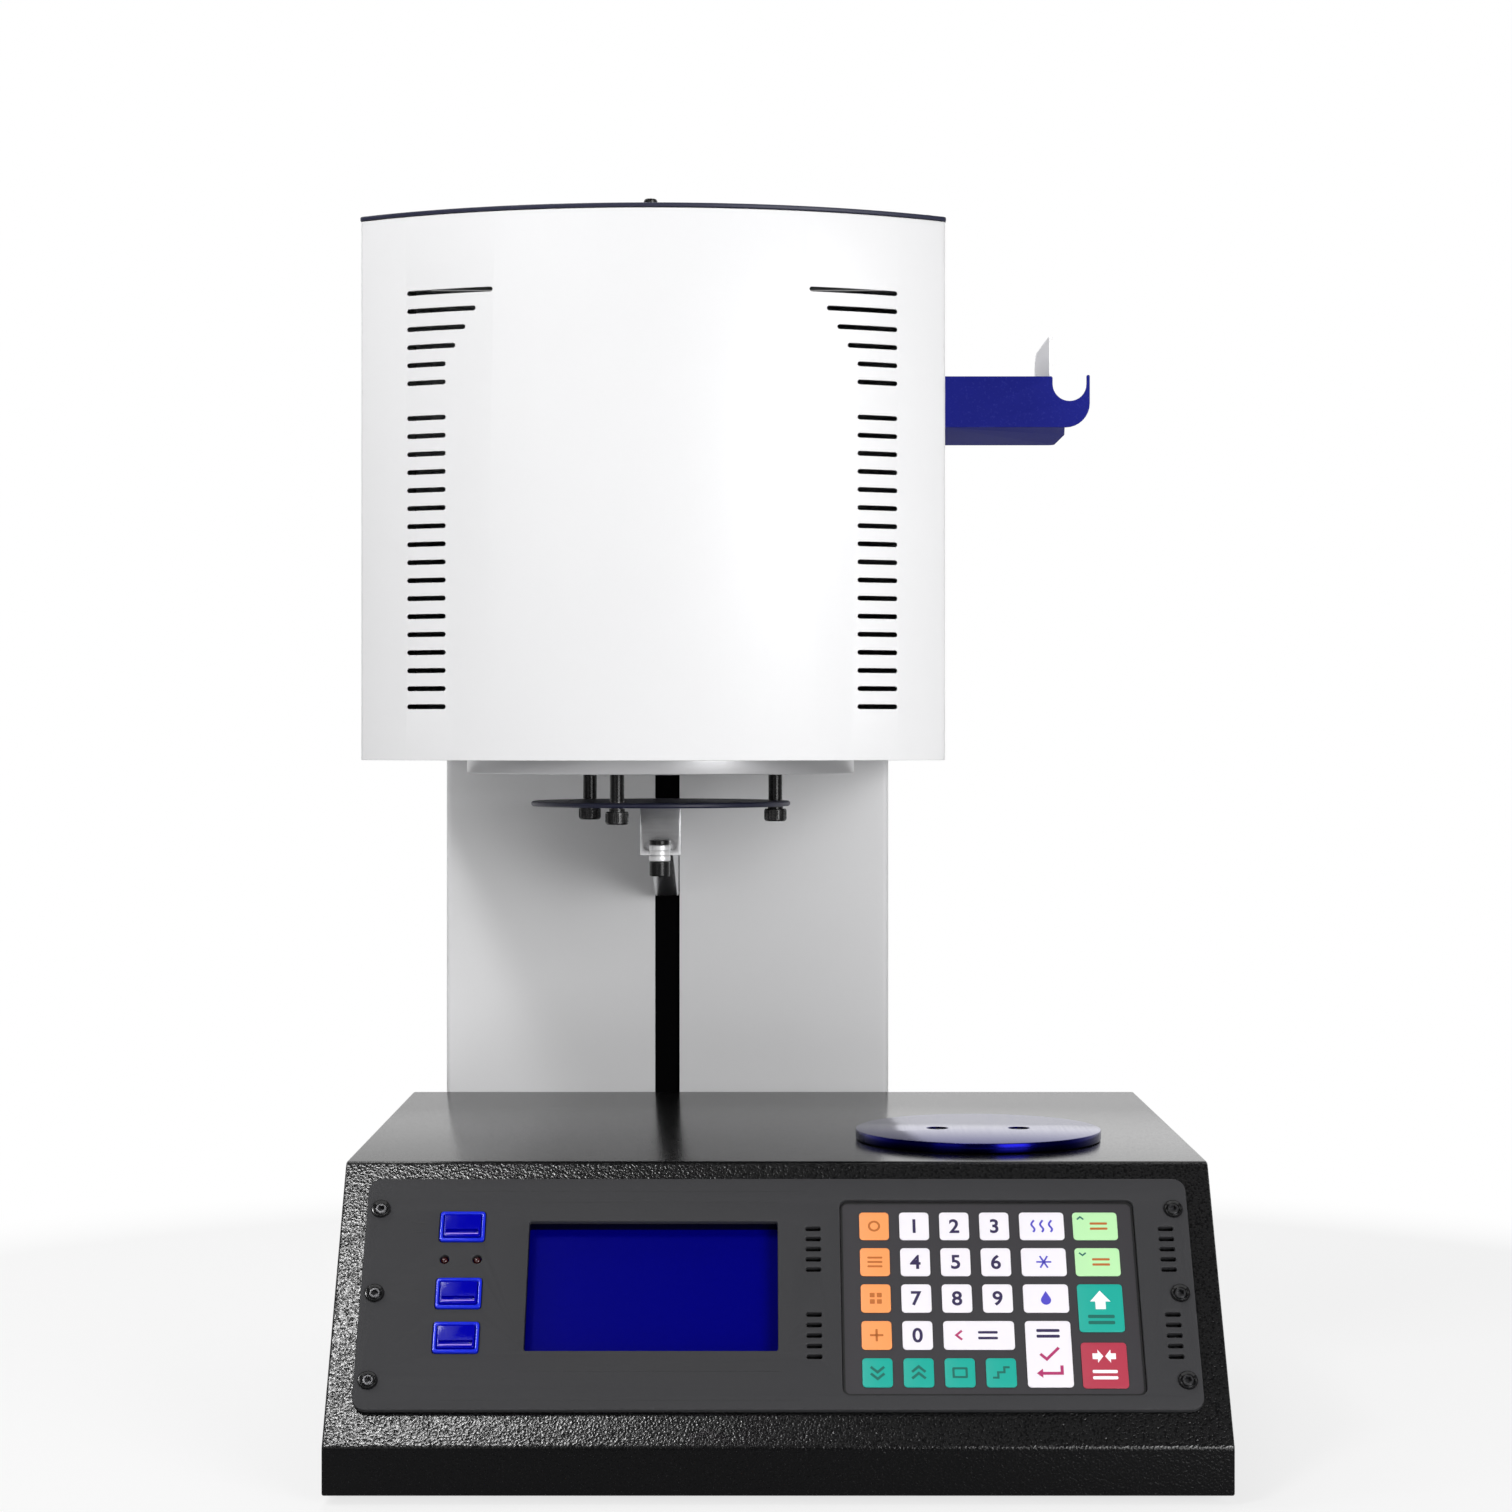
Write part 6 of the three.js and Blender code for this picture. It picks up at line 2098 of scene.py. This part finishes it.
@dataclass
class Studio:
    """Camera, lamps, world and floor."""

    focal_share: float = 3200 / 1512
    sensor: float = 36.0
    camera_across: float = -9.7
    camera_height: float = 336.3
    camera_distance: float = 1400.5
    horizon_row: float = 736.5
    frame_size: float = 1512.0
    aim: tuple[float, float, float] = (0.0, 0.0, 280.0)
    floor_half: float = 4000.0
    floor_down: float = 0.3
    floor_fade: tuple[float, float] = (0.35, 0.8)
    floor_lift: float = 0.75
    room_light: float = 0.2
    room_gloss: float = 0.15
    backdrop_edge: tuple[float, float] = (-0.2, 0.6)

    def build(self) -> None:
        """Sets up the whole studio."""
        self._camera()
        self._world()
        self._floor()
        for lamp in LAMPS:
            self._lamp(lamp)
        bpy.context.scene.view_settings.view_transform = "Standard"

    @staticmethod
    def _stand(name: str, data: bpy.types.ID, place: Sequence[float] = (0.0, 0.0, 0.0)) -> bpy.types.Object:
        """An object in the scene, placed in millimetres.

        Args:
            name: its name.
            data: what it shows.
            place: its place in millimetres.

        Returns:
            The object.
        """
        item = bpy.data.objects.new(name, data)
        bpy.context.scene.collection.objects.link(item)
        item.location = Vector(place) * MM
        return item

    def _camera(self) -> None:
        """A level camera where the photograph was taken from."""
        data = bpy.data.cameras.new("camera")
        data.sensor_width = self.sensor
        data.lens = self.sensor * self.focal_share
        data.shift_y = (self.horizon_row - self.frame_size / 2) / self.frame_size
        data.clip_start = 0.01
        front = corners("base_shell")[0].y
        place = (self.camera_across, front - self.camera_distance, self.camera_height)
        camera = self._stand("camera", data, place)
        camera.rotation_euler = (math.pi / 2, 0.0, 0.0)
        bpy.context.scene.camera = camera

    def _lamp(self, lamp: Lamp) -> None:
        """Stands a lamp so that it looks at the furnace's middle."""
        data = bpy.data.lights.new(lamp.name, "AREA")
        data.size = lamp.size * MM
        data.energy = lamp.watts
        item = self._stand(lamp.name, data, lamp.place)
        item.rotation_euler = (Vector(self.aim) * MM - item.location).to_track_quat("-Z", "Y").to_euler()

    def _world(self) -> None:
        """White for the camera and for gloss, and a soft plain light otherwise."""
        world = bpy.data.worlds.new("studio")
        world.use_nodes = True
        bpy.context.scene.world = world
        graph = Graph(world.node_tree)
        world.node_tree.nodes.clear()
        path = graph.add("ShaderNodeLightPath").outputs
        seen = graph.sum("MAXIMUM", path["Is Camera Ray"], path["Is Transmission Ray"])
        where = graph.add("ShaderNodeTexCoord").outputs["Generated"]
        split = graph.add("ShaderNodeSeparateXYZ", {0: where})
        behind = graph.remap(split.outputs["Y"], *self.backdrop_edge)
        shown = graph.sum("MULTIPLY_ADD", behind, 1.0 - self.room_gloss, self.room_gloss)
        glossy = path["Is Glossy Ray"]
        plain = graph.sum("MULTIPLY", graph.sum("SUBTRACT", 1.0, glossy), self.room_light)
        gloss = graph.sum("MULTIPLY", glossy, shown)
        strength = graph.sum("MAXIMUM", seen, graph.sum("ADD", plain, gloss))
        back = graph.add("ShaderNodeBackground", {"Color": WHITE, "Strength": strength})
        graph.add("ShaderNodeOutputWorld", {0: back.outputs[0]})

    def _floor(self) -> None:
        """A pale floor that keeps the furnace's shadow."""
        half, low = self.floor_half, -self.floor_down
        mesh = bpy.data.meshes.new("floor")
        plan = [(-half, -half, low), (half, -half, low), (half, half, low), (-half, half, low)]
        mesh.from_pydata(plan, [], [(0, 1, 2, 3)])
        floor = self._stand("floor", moved(mesh, Matrix.Scale(MM, 4)))
        material = bpy.data.materials.new("pale floor")
        material.use_nodes = True
        graph = Graph(material.node_tree)
        shader = material.node_tree.nodes["Principled BSDF"]
        shader.inputs["Base Color"].default_value = (0.8, 0.8, 0.8, 1.0)
        shader.inputs["Roughness"].default_value = 0.9
        white = graph.add("ShaderNodeEmission", {"Color": WHITE, "Strength": 1.0}).outputs[0]
        where = graph.add("ShaderNodeTexCoord").outputs["Object"]
        reach = graph.add("ShaderNodeVectorMath", {0: where}, operation="LENGTH").outputs["Value"]
        lift = graph.sum("MAXIMUM", graph.remap(reach, *self.floor_fade), self.floor_lift)
        camera_ray = graph.add("ShaderNodeLightPath").outputs["Is Camera Ray"]
        seen = graph.sum("MULTIPLY", lift, camera_ray)
        pick = graph.add("ShaderNodeMixShader", {0: seen, 1: shader.outputs[0], 2: white})
        graph.link(pick.outputs[0], material.node_tree.nodes["Material Output"].inputs["Surface"])
        mesh.materials.append(material)


def main() -> None:
    """Builds the studio and every sub-assembly in order."""
    logging.basicConfig(level=logging.INFO, format="%(name)s: %(message)s")
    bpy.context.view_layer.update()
    Studio().build()
    fascia = FasciaPlate()
    Console().build()
    fascia.build()
    for assembly in (DisplayUnit(), Keypad(), PushButtons()):
        assembly.build(fascia)
    for assembly in (
        CoolingPlate(), RearFittings(), Column(), Housing(), Chamber(), LiftDrive(), LiftTable(), ToolHolder()
    ):
        assembly.build()


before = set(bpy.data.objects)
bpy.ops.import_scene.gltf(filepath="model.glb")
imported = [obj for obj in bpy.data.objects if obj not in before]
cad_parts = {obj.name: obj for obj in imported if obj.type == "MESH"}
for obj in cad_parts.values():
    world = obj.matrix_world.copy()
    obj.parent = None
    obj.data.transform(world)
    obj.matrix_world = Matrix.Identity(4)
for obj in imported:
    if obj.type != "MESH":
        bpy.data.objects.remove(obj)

if __name__ == "__main__":
    main()
